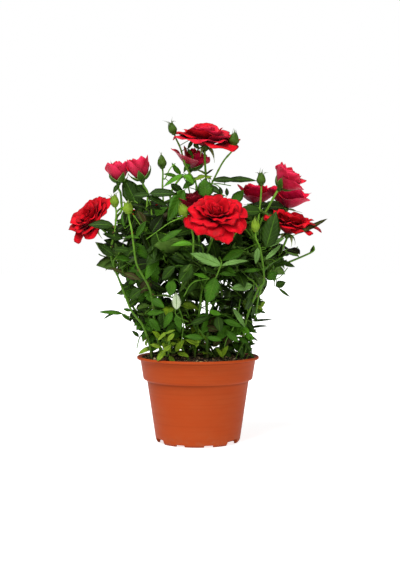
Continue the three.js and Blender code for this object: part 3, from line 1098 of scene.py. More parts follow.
@dataclass
class Framework:
    """The woody part of the bush: canes from the soil, boughs into each mass, and shoots to the flowers.

    The costs keep a new limb from growing out of wood that is too high, or lower than low_under. The
    basal_reach is the least distance of a basal shoot from the middle, and what is added to it. A mass has
    one bough more for each bough_room of the product of its half sizes, and the bough_heights are the height
    of its first bough's end and the drop to its last. Wander is how unevenly a limb grows. A thorn has a
    length and a droop, and its foot a height and a width.
    """

    rng: Chance
    inner: Taper = Taper(1.9, 1.19, 19)
    free: Taper = Taper(1.4, 0.85, 21)
    basal: Taper = Taper(1.25, 0.8, 16)
    bough: Taper = Taper(1.0, 0.5, 11)
    shoot: Taper = Taper(1.25, 1.05, 17)
    soil_top: float = 79.0
    low_under: float = 88.0
    low_cost: float = 60.0
    high_cost: float = 400.0
    basal_reach: Pair = (12.0, 30.0)
    bough_room: float = 9000.0
    bough_heights: Pair = (0.96, 1.45)
    bough_reach: float = 0.8
    cane_wander: float = 0.18
    bough_wander: float = 0.25
    thorn: Pair = (2.4, 0.9)
    thorn_foot: Pair = (1.1, 0.5)
    free_canes: dict[str, tuple[Triple, ...]] = field(default_factory=lambda: {
        "cane_left_outer": (
            (-44, 0, 79), (-50, -6, 110), (-68, -12, 141), (-81, -18, 172), (-84, -20, 188), (-80, -23, 204)),
        "cane_left_front": (
            (-34, -14, 79), (-41, -27, 116), (-45, -37, 149), (-57, -44, 173), (-60, -46, 190),
            (-62, -46, 206)),
        "cane_right_front": (
            (41, -12, 79), (46, -28, 120), (57, -41, 151), (62, -45, 158), (61, -47, 174), (58, -48, 190)),
    })
    inner_canes: tuple[tuple[Pair, Triple], ...] = (
        ((-24, -8), (-50, -12, 190)), ((-22, 20), (-52, 62, 184)), ((-4, 4), (0, 6, 210)),
        ((9, -22), (6, -40, 190)), ((30, 4), (56, 2, 190)), ((24, 24), (50, 62, 184)))
    basal_shoots: int = 12
    canes: list[Limb] = field(default_factory=list)
    boughs: dict[str, list[Limb]] = field(default_factory=dict)
    shoots: list[Limb] = field(default_factory=list)
    twigs: list[Limb] = field(default_factory=list)

    def grow_canes(self) -> None:
        """Grow the canes, the free ones on into the bud that each carries."""
        buds = {plan.root: plan for plan in BUD_PLANS}
        for k, (name, places) in enumerate(self.free_canes.items()):
            plan = buds[name]
            foot, axis = np.array(plan.foot, float), unit(plan.faces)
            path = through((*places, tuple(foot - axis * 6), tuple(foot)), 60)
            self.canes.append(Limb(path, self.free.radii(path, 0.2 * k), 1))
        for k, ((x, y), heading) in enumerate(self.inner_canes):
            start, end = np.array((x, y, self.soil_top)), np.array(heading, float)
            lean = unit(end - start)
            path = arching(start, end, lean + UP, lean, 40)
            path[1:-1] += np.cumsum(self.rng.normal(0, self.cane_wander, (39, 3)), axis=0) * (1, 1, 0)
            self.canes.append(Limb(path, self.inner.radii(path, 0.37 * k)))

    def grow_basal_shoots(self) -> None:
        """Grow thin shoots from beside the canes' feet, up into the masses round about."""
        masses = [name for name in node_names("foliage_")
                  if any(part in name for part in ("lower", "core", "front", "back"))]
        for k in range(self.basal_shoots):
            centre, half = node_box(masses[k % len(masses)])
            turn = k * GOLDEN_ANGLE
            reach = self.basal_reach[0] + self.basal_reach[1] * ((k * 0.618) % 1.0)
            start = np.array((reach * math.sin(turn), -reach * math.cos(turn), self.soil_top))
            start[:2] = 0.6 * start[:2] + 0.25 * centre[:2]
            end = centre + half * self.rng.uniform(-0.35, 0.35, 3)
            lean = unit(end - start)
            path = arching(start, end, lean + UP * 0.8, lean, 28)
            self.canes.append(Limb(path, self.basal.radii(path, 0.2 * k), k % 2))

    def nearest(self, place: Array, heading: Array, below: float) -> tuple[Array, Array]:
        """The point of the canes that a bough to a place would grow from.

        Args:
            place: the place to reach.
            heading: the mass or flower that it grows towards.
            below: how far under the place it starts at least.

        Returns:
            The point and the cane's direction there.
        """
        points = np.vstack([limb.path for limb in self.canes])
        ways = np.vstack([limb.tangents() for limb in self.canes])
        cost = np.linalg.norm(points - place, axis=1) + 0.6 * np.linalg.norm(points - heading, axis=1)
        cost += np.where(points[:, 2] > place[2] - below, self.high_cost, 0.0)
        cost += np.where(points[:, 2] < self.low_under, self.low_cost, 0.0)
        best = int(np.argmin(cost))
        return points[best], ways[best]

    def grow_boughs(self) -> None:
        """Grow boughs into each mass: their ends spread over its upper side by the golden angle."""
        for mass in node_names("foliage_"):
            centre, half = node_box(mass)
            count = int(round(5 + half[0] * half[1] * half[2] / self.bough_room))
            share = (np.arange(count) + 0.5) / count
            height = self.bough_heights[0] - self.bough_heights[1] * share
            turn = np.arange(count) * GOLDEN_ANGLE + self.rng.uniform(0, 6.28)
            level = np.sqrt(1 - height**2)
            ways = np.stack((level * np.cos(turn), level * np.sin(turn), height), axis=1)
            self.boughs[mass] = []
            for way in ways:
                end = centre + way * half * self.bough_reach
                root, along = self.nearest(end, centre, 14.0)
                leaves = unit(end - root) + 0.7 * along
                path = arching(root, end, leaves, unit(way * half) + 0.5 * UP, 18)
                path[1:] += np.cumsum(self.rng.normal(0, self.bough_wander, (18, 3)), axis=0)
                radii = self.bough.radii(path, self.rng.uniform())
                self.boughs[mass].append(Limb(path, radii, int(self.rng.uniform() < 0.6)))

    def grow_shoots(self) -> None:
        """Grow a shoot to each flower and bud: out of its mass and in along the flower's axis."""
        for plan in (*BLOOM_PLANS, *BUD_PLANS):
            if plan.root in self.free_canes:
                continue
            foot, axis = np.array(plan.foot, float), unit(plan.faces)
            centre, _ = node_box(plan.root)
            if plan.via:
                stalk = through((*plan.via, tuple(foot - axis * 5), tuple(foot)), 24)
            else:
                stalk = arching(centre, foot, unit(foot - centre) + 0.6 * UP, axis, 24)
            sets_out = unit(stalk[1] - stalk[0])
            root, along = self.nearest(stalk[0], centre, 16.0)
            feeder = arching(root, stalk[0], unit(stalk[0] - root) + along, sets_out, 14)
            path = np.vstack((feeder[:-1], stalk))
            self.shoots.append(Limb(path, self.shoot.radii(path, self.rng.uniform(), plan.stout), 1))

    def grow_twigs(self) -> None:
        """Grow the listed thin twigs, each from the wood nearest to its first place."""
        for radius, places in TWIGS:
            line = through(places, 4 * len(places))
            points = self.points()
            root = points[int(np.argmin(np.linalg.norm(points - line[0], axis=1)))]
            feeder = arching(root, line[0], line[0] - root, line[1] - line[0], 6)
            path = np.vstack((feeder[:-1], line))
            self.twigs.append(Limb(path, Taper(radius, radius * 0.7).radii(path), 1))

    def fine_wood(self) -> list[Limb]:
        """The shoots, twigs and boughs."""
        return [*self.shoots, *self.twigs, *(bough for group in self.boughs.values() for bough in group)]

    def points(self) -> Array:
        """All the places that the middle lines of the wood pass through."""
        return np.vstack([limb.path for limb in (*self.canes, *self.fine_wood())])

    def prickles(self, skin: Skin) -> None:
        """Set small prickles on the main canes: four-sided thorns that point a little downwards.

        Args:
            skin: the skin that they join.
        """
        for limb in self.canes[:len(self.free_canes) + len(self.inner_canes)]:
            count = len(limb.path) // 9
            spots = self.rng.choice(np.arange(4, len(limb.path) - 6), count, replace=False)
            along = limb.tangents()[spots]
            sideways = unit(np.cross(along, unit(self.rng.normal(size=(count, 3)))))
            third = np.cross(along, sideways)
            radius = limb.radii[spots][:, None]
            centre = limb.path[spots]
            (length, droop), (tall, broad) = self.thorn, self.thorn_foot
            tip = centre + sideways * (radius + length) - along * droop
            base = [centre + sideways * radius * 0.7 + along * a * tall + third * b * broad
                    for a, b in ((1, 0), (0, 1), (-1, 0), (0, -1))]
            points = np.stack((*base, tip), axis=1)
            start = 5 * np.arange(count)[:, None]
            sides = np.vstack([start + (k, (k + 1) % 4, 4) for k in range(4)])
            skin.add(points, [(sides, 2), (start + (3, 2, 1, 0), 2)])

    def build(self) -> None:
        """Grow everything and build one piece for the canes and one for the finer wood."""
        self.grow_canes()
        self.grow_basal_shoots()
        self.grow_boughs()
        self.grow_shoots()
        self.grow_twigs()
        finishes = [dressed(f) for f in (GREEN_BARK, YOUNG_BARK, PRICKLE)]
        stout = Skin()
        for limb in self.canes:
            limb.tube(stout, 10)
        self.prickles(stout)
        register(stout.piece("canes", finishes), "cane", *node_names("cane_"))
        fine = Skin()
        for limb in self.fine_wood():
            limb.tube(fine, 8)
        register(fine.piece("boughs", finishes), "cane", *node_names("stalk_"))


# Twigs, listed one by one: thickness at the root, and the places that each grows through.
TWIGS = (
    (0.9, ((-28, -44, 90), (-27, -50, 101), (-25, -53, 111))),
    (0.6, ((24, -30, 78), (26, -38, 100), (36, -40, 120), (40, -44, 142))),
    (0.6, ((-6, -34, 78), (-15, -42, 98), (-14, -46, 122), (-24, -50, 146))),
    (0.5, ((-21, -58, 134), (-20, -56, 127), (-9, -54, 121))),
    (0.5, ((38, -12, 117), (50, -14, 119), (58, -16, 119))),
    (0.5, ((40, -24, 79), (46, -24, 92), (44, -24, 107))),
    (0.5, ((35, -28, 79), (39, -28, 91), (46, -28, 102))),
    (0.5, ((44, -22, 79), (50, -22, 90), (51, -22, 103))),
    (0.7, ((-31, -6, 259), (-27, -6, 267), (-22, -6, 272))),
    (0.5, ((-30, -58, 211), (-38, -60, 205), (-48, -58, 198))),
    (1.0, ((-44, -12, 212), (-45, -9, 224), (-47, -8, 237))),
    (1.2, ((74, -8, 170), (91, -6, 177), (101, -3, 181), (110, 0, 185), (114, 0, 188), (113, 0, 192))),
    (0.6, ((75, -24, 160), (80, -24, 163), (86, -24, 171))),
    (0.7, ((-49, -12, 115), (-58, -14, 120), (-66, -14, 123), (-74, -12, 126))),
    (0.7, ((-50, -16, 108), (-56, -18, 104), (-59, -20, 93))),
    (0.7, ((-79, -18, 168), (-74, -20, 171), (-67, -24, 175))),
    (0.6, ((14, -14, 252), (20, -16, 249), (23, -18, 241))),
    (0.6, ((7, -14, 250), (18, -14, 252), (32, -12, 250))),
    (1.0, ((60, -42, 154), (57, -38, 141), (55, -30, 123))),
    (0.8, ((21, -74, 174), (17, -70, 164), (14, -60, 158))),
    (0.8, ((10, -68, 162), (-5, -66, 158), (-13, -58, 145))),
    (0.8, ((81, -14, 181), (77, -12, 172), (72, -8, 165))),
    (1.3, ((-44, -22, 82), (-47, -26, 99), (-53, -28, 116), (-63, -28, 129), (-70, -27, 145),
           (-78, -20, 165))),
)


# ---- leaves


DEEP, DARK, GREEN, FRESH, YOUNG, BRONZE, OLIVE, PALE, SILVER = LeafTint
TINT_NUMBERS = {tint: number for number, tint in enumerate(LeafTint)}
UNDER, RIB = len(LeafTint), len(LeafTint) + 1


def leaf_materials() -> list[Material]:
    """The finishes of a piece of leaves: each tint's upper side, then the underside and the midrib."""
    return [*(dressed(LeafFace(tint)) for tint in LeafTint), dressed(LEAF_UNDER), dressed(MIDRIB)]


@dataclass(frozen=True)
class Blade:
    """Shape of a leaflet: an oval blade with a point, toothed edges, a fold along the midrib and puckers.

    Its rows and columns are shares of its length and half width. The ranges of play are those of its droop,
    fold and swing to a side, and of its edges' wave and where that starts.
    """

    along: tuple[float, ...] = (0.0, 0.08, 0.2, 0.34, 0.48, 0.62, 0.76, 0.89, 1.0)
    across: tuple[float, ...] = (-1.0, -0.55, -0.06, 0.06, 0.55, 1.0)
    thickness: float = 0.35
    tooth: float = 0.07
    play: tuple[Pair, ...] = ((-0.02, 0.26), (0.02, 0.42), (-0.10, 0.10), (0.0, 0.16), (0.0, 2 * math.pi))

    def half_width(self) -> Array:
        """Half width along the blade as a share of its greatest.

        Formula: sin(pi s^0.8)^0.85, drawn in at every other row for the teeth, with a narrow foot and tip.

        Returns:
            A share for each row.
        """
        s = np.array(self.along)
        width = np.sin(np.pi * s**0.8) ** 0.85
        width = width * (1 - self.tooth * (np.arange(len(s)) % 2))
        return np.maximum(width, np.where(s < 0.5, 0.07, 0.025))

    def add(self, skin: Skin, foot: Array, along: Array, face: Array, length: Array, width: Array,
            finish: Array, rng: Chance) -> None:
        """Add many leaflets at once, each a thin closed lens.

        Formula: a point lies s times the length along the blade, v times its half width across, and above by
        the fold times |v|, less the droop times s^2, plus a sine wave; the underside is three points wide.

        Args:
            skin: the skin that they join.
            foot: (n, 3) feet.
            along: (n, 3) directions from foot to tip.
            face: (n, 3) rough directions that the upper sides look in.
            length: (n,) lengths.
            width: (n,) full widths.
            finish: (n,) finish numbers of the upper sides.
            rng: source of the small differences.
        """
        n = len(foot)
        along = unit(along)
        side = unit(np.cross(along, face))
        normal = np.cross(side, along)
        s, v = np.array(self.along), np.array(self.across)
        rows, columns = len(s), len(v)
        half = self.half_width()[None, :, None] * width[:, None, None] / 2
        droop, fold, swing, wave, phase = (rng.uniform(*ends, (n, 1, 1)) for ends in self.play)
        s_grid, v_grid = s[:, None], v[None]
        size = length[:, None, None]
        height = size * droop * (0.35 * s_grid - s_grid**2) + half * fold * np.abs(v_grid)
        height = height + half * wave * np.sin(s_grid * 11 + phase + np.sign(v_grid) * 1.3) * v_grid**2
        height = height + half * 0.16 * (np.abs(v_grid) - v_grid**2)
        out = v_grid * half + size * swing * s_grid**2
        forward = size * (s_grid - 0.35 * (droop * s_grid) ** 2) + 0 * v_grid
        axes = (along[:, None, None], side[:, None, None], normal[:, None, None])
        upper = foot[:, None, None] + sum(
            part[..., None] * axis for part, axis in zip((forward, out, height), axes))
        middle = columns // 2
        lower = (upper[:, :, middle - 1] + upper[:, :, middle]) / 2 - normal[:, None] * self.thickness
        points = np.concatenate((upper.reshape(n, -1, 3), lower), axis=1)
        per = rows * columns + rows
        start = per * np.arange(n)[:, None, None]
        top = np.arange(rows * columns).reshape(1, rows, columns) + start
        below = (rows * columns + np.arange(rows)).reshape(1, rows, 1) + start
        under = np.concatenate((top[..., -1:], below, top[..., :1]), axis=2)
        kinds = np.broadcast_to(finish[:, None, None], (n, rows - 1, columns - 1)).copy()
        kinds[:, :, middle - 1] = RIB
        heel = np.concatenate((top[:, 0, ::-1], below[:, 0]), axis=1)
        point = np.concatenate((top[:, -1], below[:, -1]), axis=1)
        uv = np.zeros((n, per, 2))
        uv[:, :, 0] = np.concatenate((np.repeat(s, columns), s))
        uv[:, :, 1] = np.concatenate((np.tile(v / 2 + 0.5, rows), np.full(rows, 0.5)))
        faces = [(quads_of(top), kinds.ravel()), *((part, UNDER) for part in (quads_of(under), heel, point))]
        skin.add(points, faces, uv)


def thin_tubes(skin: Skin, paths: Array, radii: Array, finish: int, sides: int = 5) -> None:
    """Add many thin closed tubes at once.

    Args:
        skin: the skin that they join.
        paths: (n, m, 3) points.
        radii: (n, m) or (m,) radii.
        finish: finish number.
        sides: corners of the section.
    """
    n, m, _ = paths.shape
    index = np.arange(n * m * sides).reshape(n, m, sides)
    caps = np.concatenate((index[:, 0, ::-1], index[:, -1]))
    skin.add(rings_round(paths, radii, sides), [(quads_of(closed(index)), finish), (caps, finish)])


class Spray(NamedTuple):
    """A compound leaf: where it grows, its way, face, stem's and leaflets' lengths, pairs and tint."""

    foot: Array
    way: Array
    face: Array
    reach: float
    leaflet: float
    pairs: int
    tint: int


class LoneLeaf(NamedTuple):
    """A single leaflet, listed one by one: foot, tip, width, tint and the way that its upper side looks."""

    foot: Triple
    tip: Triple
    width: float
    tint: LeafTint
    face: Triple = (0.0, -0.6, 0.8)


# Leaflets of a compound leaf: how far along its stem, on which side, in which pair, and how large.
LEAFLETS = (
    (1.0, 0, 0, 1.0), (0.62, -1, 1, 0.9), (0.62, 1, 1, 0.9), (0.34, -1, 2, 0.74), (0.34, 1, 2, 0.74),
    (0.86, -1, 3, 0.95), (0.86, 1, 3, 0.95),
)


@dataclass
class Foliage:
    """The leaves: compound ones along every bough and the canes' feet, and single ones listed one by one.

    The outline gives half the bush's width at some heights. A window is a gap seen through the bush from the
    eye in front: its place across, its height and its radius. A tint's share grows over each band.
    """

    rng: Chance
    wood: Framework
    blade: Blade = Blade()
    spacing: Pair = (5.5, 12.5)
    leaflet: Pair = (13.0, 34.0)
    heights: Pair = (95.0, 195.0)
    slack: Triple = (1.08, 1.08, 1.12)
    front: float = -64.0
    back_from: float = 40.0
    clear: float = 0.92
    most_rise: float = 0.3
    splay: float = 62.0
    lone_seed: int = 5
    low_below: float = 150.0
    high_above: float = 205.0
    low_band: Pair = (140, 105)
    high_band: Pair = (180, 210)
    left_band: Pair = (15, -15)
    outline: tuple[Pair, ...] = (
        (90, 45), (112, 49), (140, 58), (172, 73), (188, 77), (204, 106), (260, 125))
    windows: tuple[Triple, ...] = (
        (3, 132, 11), (-10, 113, 8), (8, 104, 6), (16, 94, 6), (32, 105, 7), (45, 114, 4))
    eye: Triple = (0.0, -1100.0, 192.7)
    sparse: dict[str, float] = field(default_factory=lambda: {TOP: 1.5, HIGH_LEFT: 1.8, HIGH_RIGHT: 1.3})

    def __post_init__(self) -> None:
        """Read the boxes of the masses and of the blooms that leaves keep clear of."""
        self.centres, self.halves = self.boxes(node_names("foliage_"))
        self.bloom_centres, self.bloom_halves = self.boxes([plan.node for plan in BLOOM_PLANS])

    def boxes(self, names: Sequence[str]) -> tuple[Array, Array]:
        """Centres and half sizes of some nodes' boxes."""
        return tuple(np.array(part) for part in zip(*(node_box(name) for name in names)))

    def outside(self, place: Array) -> bool:
        """Whether a place lies outside every mass, before the front, wider than the outline or in a window.

        Args:
            place: the place.

        Returns:
            Whether no leaf may be there.
        """
        away = (((place - self.centres) / (self.halves * self.slack)) ** 2).sum(-1).min()
        widest = np.interp(place[2], *np.array(self.outline).T)
        return bool(away > 1.0 or place[1] < self.front or abs(place[0]) > widest or self.in_window(place))

    def in_window(self, place: Array) -> bool:
        """Whether a place, carried along its line from the eye to the middle plane, lies in a window.

        Args:
            place: the place.

        Returns:
            Whether it does.
        """
        x, z, radius = np.array(self.windows).T
        line = (place - self.eye) * self.eye[1] / (self.eye[1] - place[1])
        return bool((np.hypot(line[0] - x, line[2] + self.eye[2] - z) < radius).any())

    def shades_bloom(self, place: Array) -> bool:
        """Whether a place lies in a bloom, or before it on its open side, front or back.

        Args:
            place: the place.

        Returns:
            Whether it does.
        """
        off = place - self.bloom_centres
        side = np.where(self.bloom_centres[:, 1] > self.back_from, -1.0, 1.0)
        before = off[:, 1] * side < self.bloom_halves[:, 1]
        beside = (np.abs(off[:, [0, 2]]) < self.bloom_halves[:, [0, 2]] * self.clear).all(-1)
        return bool((before & beside).any())

    def tint_of(self, place: Array, outward: float) -> int:
        """Choose a tint: darker inside a mass as painted shade, dark high up, and lighter low down, most of
        all on the left, partly as painted light and partly as the leaves' own yellower colour.

        Args:
            place: where the leaf grows.
            outward: how far out of its mass it is, 0 to 1.

        Returns:
            The finish number of the tint.
        """
        low, high = (float(smoothstep(*band, place[2])) for band in (self.low_band, self.high_band))
        left = float(smoothstep(*self.left_band, place[0]))
        right_low = 0.1 * low * (1 - left)
        # Painted shade: DEEP and BRONZE grow likelier further inside a mass; the lighter low tints are partly
        # painted light.
        weights = {
            DEEP: (0.60 - 0.35 * outward) * (1 - 0.9 * low),
            DARK: 0.34 * (1 - 0.3 * low) + 0.2 * high + right_low,
            GREEN: (0.06 + 0.16 * outward) * (1 - 0.6 * high) + 0.26 * low + right_low,
            FRESH: 0.01 * outward * (1 - high) + 0.12 * low,
            YOUNG: 0.03 * low,
            BRONZE: 0.16 - 0.12 * outward,
            OLIVE: (0.12 + 0.22 * left) * low,
        }
        share = np.array(list(weights.values()))
        return TINT_NUMBERS[list(weights)[self.rng.choice(len(share), p=share / share.sum())]]

    def fit(self, place: Array, way: Array, reach: float, size: float,
            centre: Array) -> tuple[Array, float, float]:
        """Turn a leaf inwards and shorten it, until its tip and middle lie where leaves may be.

        Args:
            place: where the leaf grows.
            way: the way it would like to grow.
            reach: length of its stem.
            size: length of its end leaflet.
            centre: middle of its mass.

        Returns:
            Its way, stem length and leaflet length, which is 0 if it has no room.
        """
        for _ in range(4):
            tip = place + way * (reach + 0.85 * size) - UP * 0.15 * reach
            middle = place + way * reach * 0.8
            if not (self.outside(tip) or self.in_window(middle)
                    or self.shades_bloom(tip) or self.shades_bloom(middle)):
                return way, reach, size
            way = unit(way + 0.55 * unit(centre - place) + self.rng.normal(0, 0.2, 3))
            reach, size = reach * 0.82, size * 0.96
        return way, reach, 0.0

    def along_limb(self, sprays: list[Spray], limb: Limb, centre: Array, half: Array, start: float,
                   stop: float, sparse: float = 1.0) -> None:
        """Grow leaves along a limb, each a golden angle round from the last.

        Args:
            sprays: the leaves so far.
            limb: the limb.
            centre: middle of the mass that it grows in.
            half: half sizes of that mass.
            start: share of its length where the first leaf is.
            stop: share of its length where the last may be.
            sparse: how much further apart they are than elsewhere.
        """
        steps = way_along(limb.path)
        tangents = limb.tangents()
        at = steps[-1] * start
        turn = self.rng.uniform(0, 2 * math.pi)
        while at < steps[-1] * stop:
            place, along = between(at, steps, limb.path), unit(between(at, steps, tangents))
            rise = float(np.clip((place[2] - self.heights[0]) / (self.heights[1] - self.heights[0]), 0, 1))
            side = unit(np.cross(along, (0.3, 0.2, 0.9)))
            other = np.cross(along, side)
            radial = side * math.cos(turn) + other * math.sin(turn)
            off = (place - centre) / half
            outward = float(np.clip(np.linalg.norm(off), 0, 1))
            away = unit(off / half)
            way = unit(radial * 0.9 + along * 0.4 + away * 0.75 + self.rng.normal(0, 0.15, 3))
            way = unit(way * (1, 1, 0) + UP * min(way[2], self.most_rise))
            face = unit(UP + away * 0.4 + self.rng.normal(0, 0.35, 3))
            size = lerp(*self.leaflet, rise) * self.rng.uniform(0.66, 1.16)
            way, reach, size = self.fit(place, way, size * self.rng.uniform(0.85, 1.3), size, centre)
            if size:
                pairs = int(self.rng.choice([1, 2, 3], p=[0.35, 0.6, 0.05]))
                sprays.append(Spray(place, way, face, reach, size, pairs, self.tint_of(place, outward)))
            turn += GOLDEN_ANGLE
            at += lerp(*self.spacing, rise) * self.rng.uniform(0.8, 1.25) * sparse

    def compound(self, skin: Skin, stems: Skin, sprays: list[Spray]) -> int:
        """Build every compound leaf: a thin arching stem, pairs of leaflets along it and one at its end.

        Formula of a stem: the foot, plus the way times the reach, plus a rise that turns into a droop.

        Args:
            skin: gathers the leaflets.
            stems: gathers the stems.
            sprays: the leaves.

        Returns:
            The number of leaflets.
        """
        rng = self.rng
        foot, way, face, reach, size, pairs, tint = (np.array(column) for column in zip(*sprays))
        way, face = unit(way), unit(face)
        n = len(foot)
        t = np.linspace(0, 1, 6)
        lift = rng.uniform(0.05, 0.35, n) * reach
        fall = rng.uniform(0.05, 0.45, n) * reach
        bow = (lift[:, None] * np.sin(np.pi * t) * 0.5 - fall[:, None] * t**2 * 0.5)[..., None] * UP
        path = foot[:, None] + way[:, None] * (reach[:, None] * t)[..., None] + bow
        thin_tubes(stems, path, np.linspace(0.62, 0.38, len(t)), 1)
        spots, sides, order, shrink = np.array(LEAFLETS).T
        keep = order <= pairs[:, None]
        low = np.clip((spots * (len(t) - 1)).astype(int), 0, len(t) - 2)
        mix = (spots * (len(t) - 1) - low)[:, None]
        at = path[:, low] * (1 - mix) + path[:, low + 1] * mix
        tangent = unit(np.gradient(path, axis=1))[:, low + 1]
        normal = unit(face[:, None] - tangent * (face[:, None] * tangent).sum(-1, keepdims=True))
        across = np.cross(tangent, normal)
        splay = rng.normal(0, 0.12, keep.shape) + math.radians(self.splay)
        bearing = np.where(sides == 0, rng.normal(0, 0.12, keep.shape), splay * sides)[..., None]
        along = tangent * np.cos(bearing) + across * np.sin(bearing)
        along = unit(along + rng.normal(0, 0.10, along.shape) - UP * 0.10)
        tilted = unit(normal + rng.normal(0, 0.22, normal.shape))
        length = size[:, None] * shrink * rng.uniform(0.88, 1.12, keep.shape)
        slender = np.clip((size[:, None] - 12) / 18, 0, 1)
        width = length * lerp(0.68, 0.50, slender) * rng.uniform(0.86, 1.14, keep.shape)
        finish = np.broadcast_to(tint[:, None], keep.shape)
        parts = (at + along * 0.8, along, tilted, length, width, finish)
        self.blade.add(skin, *(part[keep] for part in parts), rng)
        return int(keep.sum())

    def build(self) -> None:
        """Grow the leaves of all boughs and canes and build them in pieces by height."""
        groups: dict[str, list[Spray]] = {"low": [], "middle": [], "high": []}
        for mass, boughs in self.wood.boughs.items():
            sprays, sparse = groups[self.band_of(mass)], self.sparse.get(mass, 1.0)
            for limb in boughs:
                self.along_limb(sprays, limb, *node_box(mass), 0.25, 1.0, sparse)
        for limb in self.wood.canes:
            near = int(np.argmin(np.linalg.norm(self.centres - limb.path[len(limb.path) // 3], axis=1)))
            self.along_limb(groups["low"], limb, self.centres[near], self.halves[near], 0.05, 0.5)
        for band, sprays in groups.items():
            skin, stems = Skin(), Skin()
            count = self.compound(skin, stems, sprays)
            log.info("leaves_%s: %d leaves, %d leaflets", band, len(sprays), count)
            nodes = [mass for mass in self.wood.boughs if band == self.band_of(mass)]
            self.register_pair(skin, stems, f"leaves_{band}", f"leaf_stems_{band}", nodes)
        self.build_lone()

    def band_of(self, mass: str) -> str:
        """Which piece of leaves a mass belongs to."""
        height = node_box(mass)[0][2]
        return "low" if height < self.low_below else "high" if height > self.high_above else "middle"

    def register_pair(self, skin: Skin, stems: Skin, name: str, stems_name: str,
                      nodes: Iterable[str]) -> None:
        """Build and register a piece of leaves, which stands for some nodes, and one of their stems."""
        register(skin.piece(name, leaf_materials()), "foliage", *nodes)
        register(stems.piece(stems_name, [dressed(GREEN_BARK), dressed(YOUNG_BARK)]), "foliage")

    def build_lone(self) -> None:
        """Build the listed single leaves, each on a thin stalk from the nearest wood."""
        columns = zip(*SINGLE_LEAVES, *OUTER_LEAVES.values())
        foot, tip, width, tint, face = (np.array(column) for column in columns)
        finish = np.array([TINT_NUMBERS[kind] for kind in tint])
        skin, stems = Skin(), Skin()
        chance = np.random.default_rng(self.lone_seed)
        length = np.linalg.norm(tip - foot, axis=1)
        self.blade.add(skin, foot, tip - foot, face, length, width, finish, chance)
        wood = self.wood.points()
        roots = wood[np.argmin(np.linalg.norm(wood[None] - foot[:, None], axis=2), axis=1)]
        paths = np.array([arching(r, f, f - r + 2 * UP, t - f, 7) for r, f, t in zip(roots, foot, tip)])
        thin_tubes(stems, paths, np.linspace(0.45, 0.35, 8), 0)
        self.register_pair(skin, stems, "single_leaves", "single_leaf_stems", OUTER_LEAVES)


